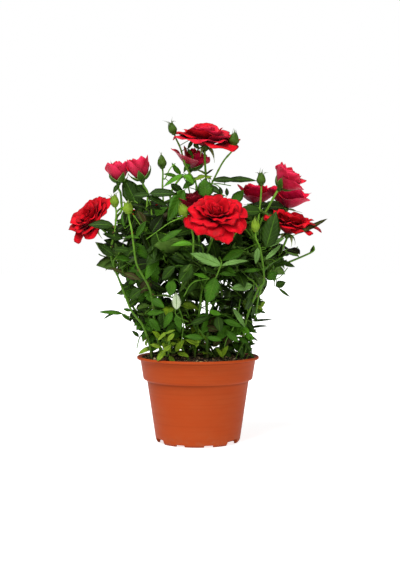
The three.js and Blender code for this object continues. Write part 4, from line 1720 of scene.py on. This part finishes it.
# Ways that a leaflet's upper side may look.
AHEAD, UPRIGHT, SLOPED = (0, -0.9, 0.4), (0, -1, 0.2), (0, -0.8, 0.5)
SLANTED, HALFWAY = (0, -0.8, 0.6), (0, -0.7, 0.7)
SINGLE_LEAVES = tuple(LoneLeaf(*row) for row in (
    # upper left, under the two cups
    ((-59, -2, 229), (-72, 2, 260), 20, DARK, (0.2, -1, 0.2)),
    ((-46, -26, 241), (-64, -28, 239), 7, DARK, AHEAD),
    ((-46, -26, 242), (-20, -28, 241), 11, DARK, SLOPED),
    ((-48, -24, 240), (-29, -28, 230), 8, DARK, (0.2, -0.8, 0.5)),
    ((-13, -26, 245), (-30, -42, 216), 16, GREEN, (0.3, -1, 0.1)),
    ((-50, -18, 228), (-66, -18, 233), 7, DEEP),
    ((-50, -20, 228), (-34, -22, 228), 8, DEEP),
    ((-51, -26, 211), (-58, -22, 226), 11, BRONZE, (-0.3, -1, 0.1)),
    ((-58, -40, 201), (-50, -34, 216), 7, GREEN, (0.4, -1, 0.1)),
    ((-70, -34, 210), (-71, -30, 227), 6, GREEN, (-0.5, -1, 0)),
    ((-78, -2, 252), (-82, -4, 243), 5, DARK, (-0.3, -1, 0)),
    ((-17, 18, 263), (-27, 12, 273), 6, FRESH, (-0.6, -0.8, 0.2)),
    ((-14, 12, 265), (-5, 6, 281), 5, FRESH, UPRIGHT), ((-10, 6, 287), (-5, 2, 279), 4, GREEN, UPRIGHT),
    ((-5, 0, 295), (-10, -2, 286), 4, DARK, UPRIGHT), ((-4, 0, 292), (1, -2, 286), 5, DARK, UPRIGHT),
    ((-45, -20, 204), (-33, -18, 222), 14, DEEP, UPRIGHT),
    ((-62, -10, 204), (-52, -10, 222), 12, DEEP, UPRIGHT),
    ((-38, -10, 221), (-57, -8, 226), 9, DEEP, AHEAD), ((-30, 0, 213), (-47, 2, 220), 10, DEEP, AHEAD),
    ((-44, -2, 222), (-28, -2, 231), 12, DEEP, AHEAD), ((-60, -2, 250), (-48, -4, 243), 8, DARK, AHEAD),
    ((-20, -10, 258), (-33, -14, 263), 6, GREEN, HALFWAY),
    ((-2, -12, 258), (-14, -16, 246), 8, GREEN, AHEAD), ((-26, -10, 252), (-14, -14, 241), 8, DARK, AHEAD),
    # left
    ((-76, -20, 205), (-92, -22, 211), 9, DARK, SLOPED), ((-70, -24, 212), (-83, -24, 204), 8, DEEP, AHEAD),
    ((-72, -22, 199), (-91, -26, 203), 9, DARK, AHEAD), ((-64, -22, 205), (-82, -26, 210), 9, DEEP, AHEAD),
    ((-74, -20, 192), (-90, -20, 199), 9, DEEP, AHEAD), ((-80, -12, 127), (-92, -12, 121), 4, GREEN),
    ((-74, -12, 126), (-65, -14, 118), 5, GREEN),
    ((-55, -44, 199), (-68, -46, 201), 7, GREEN, (0, -0.5, 0.8)),
    ((-80, -30, 183), (-96, -28, 194), 9, DARK, (-0.2, -0.9, 0.4)),
    ((-64, -36, 187), (-81, -38, 190), 8, DARK, SLOPED),
    ((-65, -34, 179), (-78, -36, 181), 8, GREEN, SLOPED),
    ((-80, -38, 211), (-103, -42, 214), 12, DARK, SLANTED),
    ((-69, -34, 166), (-85, -36, 172), 5, BRONZE, HALFWAY),
    ((-70, -36, 166), (-54, -40, 160), 9, BRONZE, HALFWAY),
    ((-54, -40, 150), (-66, -38, 142), 11, DARK, (-0.2, -1, 0.3)),
    ((-58, -30, 160), (-45, -32, 150), 13, DARK, (0, -1, 0.3)),
    ((-50, -30, 150), (-39, -34, 139), 12, GREEN, (0, -1, 0.3)),
    ((-44, -30, 160), (-57, -34, 146), 11, BRONZE, (0, -1, 0.3)),
    ((-65, -20, 129), (-72, -20, 132), 5, GREEN), ((-50, -18, 146), (-63, -20, 137), 11, GREEN, AHEAD),
    ((-46, -18, 140), (-58, -22, 129), 10, DARK, AHEAD),
    ((-62, -20, 155), (-74, -22, 150), 10, DARK, AHEAD),
    ((-60, -20, 150), (-71, -24, 142), 10, GREEN, AHEAD),
    ((-58, -22, 141), (-67, -24, 133), 8, DARK, AHEAD), ((-55, -22, 138), (-48, -24, 126), 9, DARK, AHEAD),
    ((-57, -18, 104), (-64, -18, 110), 5, DARK), ((-49, -20, 110), (-55, -22, 102), 6, GREEN),
    # front
    ((-34, -60, 196), (-15, -62, 208), 9, GREEN, (-0.3, -0.8, 0.6)),
    ((-5, -66, 193), (-25, -68, 195), 9, FRESH),
    ((21, -74, 174), (-6, -74, 187), 11, PALE, (-0.2, -0.9, 0.4)),
    ((22, -74, 174), (46, -72, 182), 6, PALE, (0.1, -0.8, 0.6)),
    ((42, -64, 188), (22, -68, 179), 12, GREEN, SLANTED), ((17, -68, 167), (1, -70, 173), 8, DARK, HALFWAY),
    ((10, -68, 162), (-5, -70, 167), 6, FRESH, HALFWAY),
    ((19, -68, 166), (36, -68, 167), 5, GREEN, SLANTED),
    ((59, -52, 170), (41, -58, 168), 6, GREEN, HALFWAY),
    ((16, -68, 163), (10, -66, 138), 15, GREEN, (0, -1, 0.15)),
    ((-5, -68, 174), (-18, -66, 159), 14, DARK, (-0.2, -1, 0.2)),
    ((51, -52, 155), (31, -60, 153), 10, PALE, AHEAD),
    ((56, -54, 190), (54, -58, 175), 7, PALE, (-0.4, -1, 0)),
    ((-20, -60, 133), (-19, -62, 149), 9, SILVER, (0.1, -1, 0)),
    ((-21, -64, 173), (-34, -60, 160), 10, DARK, (-0.3, -0.9, 0.3)),
    ((-23, -62, 160), (-26, -60, 145), 11, GREEN, (-0.2, -1, 0.2)),
    ((-43, -50, 142), (-31, -54, 135), 9, GREEN, AHEAD),
    ((-48, -48, 128), (-31, -54, 131), 8, GREEN, SLANTED),
    ((-20, -48, 127), (-17, -50, 113), 8, GREEN, UPRIGHT),
    ((5, -50, 105), (-12, -52, 109), 7, GREEN, AHEAD), ((0, -48, 100), (-12, -50, 103), 5, OLIVE, AHEAD),
    ((9, -48, 106), (23, -48, 103), 6, GREEN, AHEAD),
    ((19, -48, 126), (20, -50, 111), 10, DARK, (-0.1, -1, 0.2)),
    ((11, -50, 131), (22, -50, 127), 6, FRESH, AHEAD), ((24, -46, 122), (42, -46, 116), 7, GREEN, AHEAD),
    ((33, -44, 133), (46, -44, 115), 6, PALE, (0.3, -0.9, 0.3)),
    ((27, -40, 112), (38, -42, 100), 8, GREEN, AHEAD), ((-46, -40, 123), (-36, -44, 111), 9, GREEN, AHEAD),
    ((-24, -48, 130), (-33, -50, 115), 8, GREEN, UPRIGHT), ((-7, -44, 118), (11, -46, 125), 7, DARK, AHEAD),
    # top
    ((-14, -16, 261), (-33, -20, 249), 9, FRESH, (-0.4, -0.6, 0.7)),
    ((-14, -18, 260), (-3, -22, 252), 9, FRESH, (0.2, -0.7, 0.7)),
    ((7, -14, 260), (-3, -18, 255), 7, YOUNG), ((7, 6, 262), (0, 4, 267), 4, YOUNG),
    ((8, 6, 262), (15, 4, 267), 4, BRONZE), ((7, 6, 261), (13, 2, 257), 5, YOUNG),
    ((7, -16, 257), (14, -16, 259), 4, YOUNG), ((8, -30, 238), (6, -28, 256), 17, GREEN, UPRIGHT),
    ((14, -16, 255), (38, -18, 257), 7, DARK, AHEAD), ((27, -14, 255), (57, -16, 258), 7, DARK, AHEAD),
    ((34, -12, 232), (43, -8, 248), 11, GREEN, (0, -1, 0.3)),
    ((23, -18, 241), (21, -18, 249), 4, DEEP, (0, -1, 0)),
    ((28, -18, 240), (28, -18, 248), 4, DEEP, (0, -1, 0)), ((10, -14, 250), (23, -18, 243), 7, DARK, AHEAD),
    # right
    ((50, -14, 112), (68, -16, 117), 4, DARK), ((54, -14, 134), (64, -16, 138), 4, DARK),
    ((52, -14, 119), (72, -18, 121), 4, DARK), ((55, -14, 130), (66, -18, 127), 5, GREEN),
    ((48, -14, 104), (59, -16, 101), 4, DARK), ((45, -14, 97), (54, -16, 90), 5, DARK),
    ((44, -14, 106), (53, -18, 97), 6, GREEN), ((44, -26, 101), (51, -28, 91), 6, DARK),
    ((40, -26, 96), (43, -28, 84), 5, DARK), ((38, -30, 105), (49, -30, 99), 7, GREEN),
    ((46, -20, 108), (57, -20, 112), 5, DARK), ((47, -22, 92), (54, -24, 84), 4, DARK),
    ((46, -20, 127), (59, -22, 121), 8, DARK), ((44, -20, 113), (57, -22, 108), 7, GREEN),
    ((45, -24, 121), (55, -26, 111), 7, DARK), ((42, -24, 96), (56, -26, 98), 6, DARK),
    ((60, -20, 225), (39, -26, 224), 13, DARK, AHEAD), ((53, -4, 230), (69, 0, 233), 9, DEEP, AHEAD),
    ((85, 4, 229), (66, 2, 232), 10, DEEP, AHEAD), ((64, 8, 228), (80, 6, 236), 10, DARK, AHEAD),
    ((64, -46, 190), (74, -50, 224), 18, DARK, (-0.1, -1, 0.1)),
    ((64, -46, 191), (82, -46, 200), 6, PALE, (0.2, -0.9, 0.4)),
    ((63, -46, 179), (80, -44, 193), 5, PALE, (0.2, -0.9, 0.4)),
    ((71, -20, 175), (82, -24, 181), 7, DARK, SLANTED), ((73, -20, 173), (88, -24, 178), 8, DARK, SLANTED),
    ((81, -18, 176), (93, -20, 171), 6, DARK, SLANTED), ((75, -20, 153), (84, -22, 158), 8, DARK, UPRIGHT),
    ((78, -20, 151), (88, -22, 142), 3, DARK, UPRIGHT), ((66, -22, 160), (77, -24, 166), 9, GREEN, AHEAD),
    # foot
    ((-44, -20, 94), (-58, -24, 89), 7, YOUNG), ((-29, -52, 111), (-38, -54, 104), 5, YOUNG),
    ((-30, -54, 110), (-21, -54, 114), 4, YOUNG), ((-22, -56, 110), (-29, -56, 103), 7, YOUNG),
    ((-25, -50, 99), (-33, -54, 91), 6, YOUNG), ((-34, -44, 104), (-43, -47, 112), 8, OLIVE),
    ((-33, -44, 101), (-26, -49, 92), 8, OLIVE), ((-35, -44, 96), (-45, -46, 99), 7, YOUNG),
    ((-31, -44, 93), (-39, -48, 84), 8, OLIVE), ((-30, -44, 96), (-20, -48, 101), 7, OLIVE),
    ((-27, -44, 88), (-21, -48, 80), 6, YOUNG), ((-21, -42, 92), (-14, -44, 104), 8, OLIVE),
    ((-19, -42, 90), (-8, -44, 88), 7, OLIVE), ((22, -40, 87), (28, -42, 98), 7, OLIVE),
    ((24, -40, 86), (17, -42, 96), 6, OLIVE),
))
OUTER_LEAVES = {
    "leaf_left_low": LoneLeaf((-73, -12, 126), (-97, -12, 129), 7, GREEN),
    "leaf_right_high": LoneLeaf((93, -46, 203), (131, -12, 219), 5, BRONZE, AHEAD),
    "leaf_right_mid": LoneLeaf((110, 0, 184), (114, 1, 192), 3, DARK, AHEAD),
}


# ---- flowers


class PetalOutline(Enum):
    """Outline of a petal or sepal: how its half width runs along it, and how round its end is."""

    PETAL = "petal"
    SEPAL = "sepal"
    SCALE = "scale"

    def half_width(self, u: Array) -> Array:
        """Half width along the petal as a share of its greatest.

        Formula: a petal widens from a narrow claw as smoothstep and narrows a little at its end; a sepal is
        widest near its foot and runs out to a long point; a bud's scale keeps its width for longer.

        Args:
            u: shares of the length.

        Returns:
            A share for each.
        """
        if self is PetalOutline.SCALE:
            return np.maximum((1 - u**2.4) * (0.8 + 0.2 * np.sin(np.pi * u)), 0.05)
        if self is PetalOutline.PETAL:
            return (0.2 + 0.8 * smoothstep(-0.1, 0.62, u)) * (1 - 0.16 * smoothstep(0.7, 1.0, u))
        return np.maximum((1 - u**1.3) * (0.7 + 0.6 * np.sin(np.pi * np.clip(u * 1.6, 0, 1))), 0.04)


# How far past its length a petal's middle line is worked out, for its point, and in how many steps.
FULL_REACH = 1.08
MERIDIAN_STEPS = 65


def radial_of(axis: Array, turn: Array) -> Array:
    """Directions square to an axis at some angles round it.

    Args:
        axis: unit direction.
        turn: (n,) angles in radians.

    Returns:
        (n, 3) unit directions.
    """
    level = np.eye(3)[np.argmin(np.abs(axis))]
    first = unit(np.cross(level, axis))
    second = np.cross(axis, first)
    return first * np.cos(turn)[:, None] + second * np.sin(turn)[:, None]


@dataclass
class Petals:
    """Petals: how each stands on its flower and how it is curved, as one value for each or one for all.

    Angles are from the flower's axis: 0 stands up along it, 90 degrees lies out square to it.
    """

    turn: Array
    length: Array
    width: Array | float
    foot_angle: Array
    rim_angle: Array
    roll: Array
    cup: Array | float
    start: Array | float
    lift: Array | float
    ruffle: Array | float
    curl: Array | float
    finish: Array | int = 0
    margin: bool = False
    outline: PetalOutline = PetalOutline.PETAL
    rows: int = 12
    columns: int = 13
    thickness: float = 0.3
    point: float = 0.06
    shoulder: float = 0.22
    bend: float = 1.1

    def __post_init__(self) -> None:
        """Give every petal its own values."""
        for name in ("width", "cup", "start", "lift", "ruffle", "curl", "finish"):
            setattr(self, name, np.broadcast_to(getattr(self, name), self.turn.shape))

    def meridian(self) -> tuple[Array, Array, Array]:
        """Each petal's middle line, on a fine table of steps.

        Formula: the angle from the axis goes from the foot's to the rim's as the way along it to the power of
        bend, then on by the roll in the last quarter; the radius gathers its sine and the height its cosine.

        Returns:
            (n, steps) radius, height and angle.
        """
        t = np.linspace(0, FULL_REACH, MERIDIAN_STEPS + 1)
        angle = lerp(self.foot_angle[:, None], self.rim_angle[:, None], np.minimum(t, 1) ** self.bend)
        angle = angle + self.roll[:, None] * smoothstep(0.66, 1.05, t)
        step = self.length[:, None] * (t[1] - t[0])
        radius = self.start[:, None] + np.cumsum(np.sin(angle) * step, axis=1) - np.sin(angle[:, :1]) * step
        height = self.lift[:, None] + np.cumsum(np.cos(angle) * step, axis=1) - np.cos(angle[:, :1]) * step
        return radius, height, angle

    def add(self, skin: Skin, foot: Array, axis: Array, rng: Chance, back: int = 1) -> None:
        """Add the petals, each a thin closed shell, to a flower.

        Formula: across each petal runs an arc, bent in towards the axis; edges turn out and the rim waves.
        The rim is rounded by shortening the sides, with a small point in the middle.

        Args:
            skin: the skin that they join.
            foot: the flower's foot.
            axis: its axis.
            rng: source of the small differences.
            back: finish number of the back, less that of the face.
        """
        n = len(self.turn)
        u = np.linspace(0, 1, self.rows) ** 0.85
        v = np.sin(np.linspace(-0.5, 0.5, self.columns) * np.pi)
        ug, vg = np.meshgrid(u, v, indexing="ij")
        edge = np.abs(vg)
        reach = ug * (1 - self.shoulder * edge**2.6 + self.point * (1 - edge) ** 2)
        radius, height, angle = self.meridian()
        place = reach / FULL_REACH * MERIDIAN_STEPS
        low = np.clip(place.astype(int), 0, MERIDIAN_STEPS - 1)
        part = place - low
        r, z, a = (table[:, low] * (1 - part) + table[:, low + 1] * part for table in (radius, height, angle))
        wide = self.outline.half_width(ug)[None] * self.width[:, None, None]
        arc = (self.cup * self.width)[:, None, None] * (0.55 + 0.6 * ug)
        bow = np.clip(vg * wide / arc, -1.9, 1.9)
        out, inward = arc * np.sin(bow), arc * (1 - np.cos(bow))
        size = self.width[:, None, None]
        phase = rng.uniform(0, 2 * np.pi, (2, n, 1, 1))
        wave = np.sin(vg * 4.2 + phase[0]) * 0.7 + np.sin(vg * 9.0 + phase[1]) * 0.16
        inward = inward + wave * self.ruffle[:, None, None] * size * smoothstep(0.45, 1.0, ug)
        turned_out = self.curl[:, None, None] * size * rng.uniform(0.4, 1.3, (n, 1, 1))
        inward = inward - turned_out * smoothstep(0.5, 1.0, edge) * smoothstep(0.3, 0.9, ug)
        tilt = rng.normal(0, 0.05, (n, 1, 1))
        radial = radial_of(axis, self.turn)
        radial, around = radial[:, None, None], np.cross(axis, radial)[:, None, None]
        sin, cos = np.sin(a)[..., None], np.cos(a)[..., None]
        inner = radial * -cos + axis * sin
        front = foot + radial * r[..., None] + axis * z[..., None]
        front = front + around * (out + tilt * size * ug)[..., None] + inner * inward[..., None]
        body = (1 - edge**4) * (1 - ug**6) * smoothstep(0, 0.1, ug)
        behind = front - inner * (self.thickness * body)[..., None]
        rows, columns = self.rows, self.columns
        inside = np.zeros((rows, columns), bool)
        inside[1:-1, 1:-1] = True
        number = np.arange(rows * columns).reshape(rows, columns)
        rear = number.copy()
        rear[inside] = rows * columns + np.arange(inside.sum())
        per = rows * columns + int(inside.sum())
        points = np.concatenate((front.reshape(n, -1, 3), behind[:, inside]), axis=1)
        start = per * np.arange(n)[:, None, None]
        faces = quads_of(number + start)[:, ::-1]
        backs = quads_of(rear + start)
        each = (rows - 1) * (columns - 1)
        uv = np.stack((ug, vg / 2 + 0.5), axis=-1)
        uv = np.concatenate((uv.reshape(-1, 2), uv[inside]))
        uv = np.broadcast_to(uv, (n, per, 2)).copy()
        uv[..., 1] += np.arange(n)[:, None] * 0.37
        finish = np.repeat(self.finish, each)
        rear_finish = (finish + back).reshape(n, rows - 1, columns - 1)
        if self.margin:
            rear_finish[..., [0, -1]] -= back
        skin.add(points, [(faces, finish), (backs, rear_finish.ravel())], uv)


@dataclass(frozen=True)
class Opening:
    """How the petals of a form run from the innermost (first value) to the outermost (second value).

    Lengths, widths and starts are shares of the flower's radius, and angles are in degrees.
    """

    count: int
    length: Pair
    width: Pair
    foot_angle: Pair
    rim_angle: Pair
    roll: Pair
    cup: Pair
    start: Pair
    curl: Pair
    ruffle: float = 0.06
    gather: float = 0.8
    loose: float = 1.0
    point: float = 0.06
    bend: float = 1.1


OPENINGS = {
    FLAT: Opening(27, (0.40, 1.02), (0.24, 0.64), (8, 70), (-14, 92), (6, 20), (0.8, 1.5), (0.02, 0.10),
                  (0.1, 0.3), 0.05, 0.8, 0.9, 0.10),
    FULL: Opening(46, (0.40, 0.98), (0.16, 0.42), (8, 54), (-14, 96), (18, 44), (0.75, 1.25), (0.02, 0.1),
                  (0.2, 0.6), 0.09, 0.85, 1.6, 0.08),
    DENSE: Opening(50, (0.50, 1.02), (0.18, 0.46), (8, 58), (-16, 74), (14, 44), (0.75, 1.2), (0.02, 0.1),
                   (0.15, 0.4), 0.07, 0.8, 1.2),
    BOWL: Opening(18, (0.85, 1.45), (0.45, 0.98), (14, 84), (-16, 34), (6, 24), (0.85, 1.2), (0.02, 0.14),
                  (0.08, 0.2), 0.045, 0.7, 0.6, 0.16, 0.6),
    HALF: Opening(15, (1.05, 1.62), (0.42, 1.0), (14, 82), (-22, 22), (0, 22), (0.85, 1.0), (0.02, 0.14),
                  (0.06, 0.2), 0.035, 0.7, 0.5, 0.16, 0.6),
    CUP: Opening(15, (1.25, 1.74), (0.40, 0.92), (16, 74), (-22, -12), (0, 24), (0.88, 0.98), (0.02, 0.15),
                 (0.05, 0.2), 0.03, 0.7, 0.4, 0.16, 0.75),
}


def five_sepals(rng: Chance, length: Triple, foot: Pair, rim: Pair, roll: Pair, **shape: object) -> Petals:
    """Five sepals evenly round a flower, each a little different.

    Args:
        rng: source of the differences.
        length: their length, and the mean and spread of the share of it that each has.
        foot: mean and spread of the angle at the foot, in degrees.
        rim: mean and spread of the angle at the rim.
        roll: mean and spread of the roll, which is never inwards.
        shape: the rest of their shape, as the fields of Petals.

    Returns:
        The sepals.
    """
    size, mean, spread = length
    return Petals(
        np.arange(5) * 2 * np.pi / 5 + rng.uniform(0, 1), size * rng.normal(mean, spread, 5),
        foot_angle=np.radians(rng.normal(*foot, 5)), rim_angle=np.radians(rng.normal(*rim, 5)),
        roll=np.radians(np.abs(rng.normal(*roll, 5))), columns=7, thickness=0.4, shoulder=0.0, **shape)


@dataclass
class Bloom:
    """One flower: petals by the golden angle round its axis, on a green hip with five sepals.

    Mixed is the share of petals that have its other tint.
    """

    plan: BloomPlan
    skin: Skin
    green: Skin
    tints: tuple[PetalTint, ...]
    mixed: float = 0.35

    def __post_init__(self) -> None:
        """Read the flower's axis and foot."""
        self.axis, self.foot = unit(self.plan.faces), np.array(self.plan.foot, float)

    def petals(self, rng: Chance) -> None:
        """Lay out the petals from the middle outwards and add them; the outer ones droop where they hang.

        Args:
            rng: source of the small differences.
        """
        plan, form = self.plan, OPENINGS[self.plan.form]
        n, size = form.count, plan.radius
        share = (np.arange(n) / (n - 1)) ** form.gather
        side, flare, stretch = plan.flare
        turn = np.arange(n) * GOLDEN_ANGLE * (-side or 1) + rng.normal(0, 0.14, n)
        foot, rim, roll = (
            np.radians(lerp(*pair, share) + rng.normal(0, noise * form.loose, n))
            for pair, noise in ((form.foot_angle, 3), (form.rim_angle, 5), (form.roll, 8)))
        if side:
            first, second = radial_of(self.axis, np.array([0.0, math.pi / 2]))
            wanted = np.array([0.6 * side, -0.8, 0.0])
            turn += math.atan2(wanted @ second, wanted @ first) - turn[-1]
            rim[-1] += math.radians(flare)
        hang = np.clip(-radial_of(self.axis, turn)[:, 2] + 0.1, 0, 1) * share**2 * np.radians(plan.droop)
        kinds = [self.tints.index(tint) for tint in (plan.tint, plan.other_tint)]
        kind = np.where(rng.uniform(size=n) < self.mixed, kinds[1], kinds[0])
        if side:
            kind[-1] = kinds[1]
        length = (lerp(*form.length, share) + rng.normal(0, 0.03 * form.loose, n)) * size
        length[-1] *= stretch
        width = (lerp(*form.width, share) + rng.normal(0, 0.02, n)) * size
        width[-1] *= (1 + stretch) / 2
        Petals(
            turn, length, width, foot + 0.3 * hang, rim + hang, np.maximum(roll, 0), lerp(*form.cup, share),
            lerp(*form.start, share) * size, rng.uniform(-0.3, 0.3, n), form.ruffle * (0.4 + share),
            lerp(*form.curl, share), kind * 2, point=form.point, bend=form.bend,
        ).add(self.skin, self.foot + self.axis * 2.2, self.axis, rng)

    def sepals(self, rng: Chance) -> None:
        """Add five sepals: narrow and bent back under an open flower, broad and hugging a cup.

        Args:
            rng: source of the small differences.
        """
        form, size = self.plan.form, self.plan.radius
        start, foot, rim, length, width, cup = 1.8, 90, 172, 0.5 * size, 2.2, 1.2
        if form is BOWL:
            foot, rim, length, width = 90, 100, 0.8 * size, 2.6
        elif form.deep():
            start, foot, rim, length, width, cup = 2.8, 82, 2, 1.25 * size, 4.6, 1.25
        outline = PetalOutline.SCALE if form in (CUP, HALF) else PetalOutline.SEPAL
        five_sepals(
            rng, (length, 1, 0.1), (foot, 3), (rim, 6), (8, 10), width=width, cup=cup, start=start, lift=-0.8,
            ruffle=0.05, curl=0.1, margin=form.deep(), outline=outline, rows=10, point=0.0, bend=0.8,
        ).add(self.green, self.foot + self.axis * 1.2, self.axis, rng)

    def hip(self) -> None:
        """Add the green swelling under the petals: a profile turned round the flower's axis."""
        size = 2.1 + self.plan.radius * 0.05
        profile = [(0.42, -1.0), (0.8, -0.6), (1.0, 0.0), (0.95, 0.6), (0.75, 1.1), (0.3, 1.25)]
        add_turned(self.green, profile, size, size, self.foot + self.axis * 0.6, self.axis, 2)

    def build(self) -> None:
        """Add all of the flower to its skins."""
        rng = np.random.default_rng(100 + self.plan.seed)
        self.petals(rng)
        self.sepals(rng)
        self.hip()


def add_turned(skin: Skin, profile: Sequence[Pair], radius: float, length: float, foot: Array,
               axis: Array, finish: int, sides: int = 14) -> None:
    """Add a small closed turned body on any axis.

    Args:
        skin: the skin that it joins.
        profile: shares of radius and length, from its foot to its end.
        radius: its radius.
        length: its length.
        foot: where the profile's length 0 lies.
        axis: its axis.
        finish: finish number.
        sides: corners round it.
    """
    wide, high = (np.array(profile, float) * (radius, length)).T[..., None, None]
    points = foot + radial_of(axis, circle(sides)) * wide + axis * high
    index = np.arange(len(profile) * sides).reshape(-1, sides)
    skin.add(points, [(quads_of(closed(index)), finish), (index[:1, ::-1], finish), (index[-1:], finish)])


@dataclass
class Bud:
    """A closed bud: a green body in five wrapped sepals that close to one point, on a small hip."""

    plan: BudPlan
    skin: Skin
    body: float = 0.99
    profile: tuple[Pair, ...] = (
        (0.22, -0.03), (0.48, 0.02), (0.62, 0.08), (0.60, 0.14), (0.80, 0.20), (0.96, 0.30),
        (1.0, 0.40), (0.93, 0.52), (0.74, 0.65), (0.50, 0.77), (0.26, 0.88), (0.05, 0.97))

    def build(self) -> None:
        """Add the bud's body and sepals; the sepals' tips stand out as far as the plan says."""
        plan = self.plan
        rng = np.random.default_rng(abs(int(plan.foot[0] * 7 + plan.foot[2])))
        axis, foot = unit(plan.faces), np.array(plan.foot, float)
        green = 2 + plan.fresh
        add_turned(self.skin, self.profile, plan.radius * self.body, plan.length, foot, axis, green)
        five_sepals(
            rng, (plan.length, 0.96, 0.04), (34, 2), (-44, 2), (plan.loose, plan.loose / 2),
            width=plan.radius * 0.66, cup=1.05, start=plan.radius * 0.74, lift=plan.length * 0.15,
            ruffle=0.01, curl=0.04, outline=PetalOutline.SCALE, point=0.3, bend=0.6,
        ).add(self.skin, foot, axis, rng, back=green)


@dataclass
class Flowers:
    """All the blooms and buds."""

    tints: tuple[PetalTint, ...] = tuple(PetalTint)

    def build(self) -> None:
        """Build the open flowers, the cups and the buds, with their green parts."""
        petals = [dressed(PetalSide(t, back)) for t in self.tints for back in (False, True)]
        greens = [dressed(f) for f in (SEPAL_PALE, SEPAL, BUD_GREEN, BUD_FRESH)]
        open_skin, cup_skin, green = Skin(), Skin(), Skin()
        wide = [plan for plan in BLOOM_PLANS if not plan.form.deep()]
        deep = [plan for plan in BLOOM_PLANS if plan.form.deep()]
        for plans, skin in ((wide, open_skin), (deep, cup_skin)):
            for plan in plans:
                Bloom(plan, skin, green, self.tints).build()
        register(open_skin.piece("open_blooms", petals), "petal", *(plan.node for plan in wide))
        register(cup_skin.piece("cupped_blooms", petals), "petal", *(plan.node for plan in deep))
        register(green.piece("bloom_sepals", greens), "bud")
        bud_skin = Skin()
        for plan in BUD_PLANS:
            Bud(plan, bud_skin).build()
        register(bud_skin.piece("buds", greens), "bud", *(plan.node for plan in BUD_PLANS))


# ---- studio


@dataclass
class Studio:
    """A plain white room: floor, soft lights and the camera; the floor's sizes are in metres."""

    eye: Triple = (2.0, -1100.0, 192.7)
    tilt: float = 2.04
    lens: float = 70.86
    floor_size: float = 12.0
    floor_drop: float = 0.0004
    floor_shade: float = 0.62
    floor_glow: float = 0.77
    sky: float = 0.29
    key: float = 3.9
    fill: float = 1.1

    def floor(self) -> None:
        """Lay a wide pale floor just under the pot."""
        mesh = bpy.data.meshes.new("floor")
        corners = [(x * self.floor_size / 2, y * self.floor_size / 2, -self.floor_drop)
                   for x, y in ((-1, -1), (1, -1), (1, 1), (-1, 1))]
        mesh.from_pydata(corners, [], [(0, 1, 2, 3)])
        paper = Dressing("floor_paper", (self.floor_shade,) * 3, 0.8, 0.1, Emission_Strength=self.floor_glow)
        paper.shader.inputs["Emission Color"].default_value = (1, 1, 1, 1)
        mesh.materials.append(paper.material)
        floor = bpy.data.objects.new("floor", mesh)
        bpy.context.scene.collection.objects.link(floor)

    def sky_light(self) -> None:
        """Light the room evenly, and show it white."""
        world = bpy.data.worlds.new("room")
        bpy.context.scene.world = world
        world.use_nodes = True
        nodes, links = world.node_tree.nodes, world.node_tree.links
        seen, lit = nodes["Background"], nodes.new("ShaderNodeBackground")
        seen.inputs[0].default_value = lit.inputs[0].default_value = (1, 1, 1, 1)
        seen.inputs[1].default_value, lit.inputs[1].default_value = 1.0, self.sky
        path, mix = nodes.new("ShaderNodeLightPath"), nodes.new("ShaderNodeMixShader")
        links.new(path.outputs["Is Camera Ray"], mix.inputs[0])
        links.new(lit.outputs[0], mix.inputs[1])
        links.new(seen.outputs[0], mix.inputs[2])
        links.new(mix.outputs[0], nodes["World Output"].inputs[0])

    def lamp(self, name: str, place: Triple, strength: float, spread: float) -> None:
        """Shine a soft lamp on everything evenly from one side.

        Args:
            name: its name.
            place: the side that it shines from.
            strength: its strength, the same at every distance.
            spread: the angle that it fills, in degrees.
        """
        light = bpy.data.lights.new(name, "SUN")
        light.energy, light.angle = strength, math.radians(spread)
        lamp = bpy.data.objects.new(name, light)
        lamp.rotation_euler = (-Vector(place)).to_track_quat("-Z", "Y").to_euler()
        bpy.context.scene.collection.objects.link(lamp)

    def camera(self) -> None:
        """Set the camera in front, a little above the middle, looking slightly down."""
        data = bpy.data.cameras.new("camera")
        data.lens, data.sensor_width = self.lens, 36.0
        camera = bpy.data.objects.new("camera", data)
        camera.location = Vector(self.eye) * MM
        camera.rotation_euler = Euler((math.radians(90 - self.tilt), 0, 0))
        bpy.context.scene.collection.objects.link(camera)
        bpy.context.scene.camera = camera

    def build(self) -> None:
        """Set up the room."""
        self.floor()
        self.sky_light()
        self.lamp("key_light", (-0.35, -0.55, 1.15), self.key, 34)
        self.lamp("fill_light", (0.35, -1.0, 0.3), self.fill, 40)
        self.camera()
        bpy.context.scene.view_settings.view_transform = "Standard"


def main() -> None:
    """Build the whole potted bush in its room."""
    logging.basicConfig(level=logging.INFO, format="%(name)s %(message)s")
    Studio().build()
    Pot().build()
    Soil(np.random.default_rng(3)).build()
    wood = Framework(np.random.default_rng(11))
    wood.build()
    Foliage(np.random.default_rng(5), wood).build()
    Flowers().build()


if __name__ == "__main__":
    main()
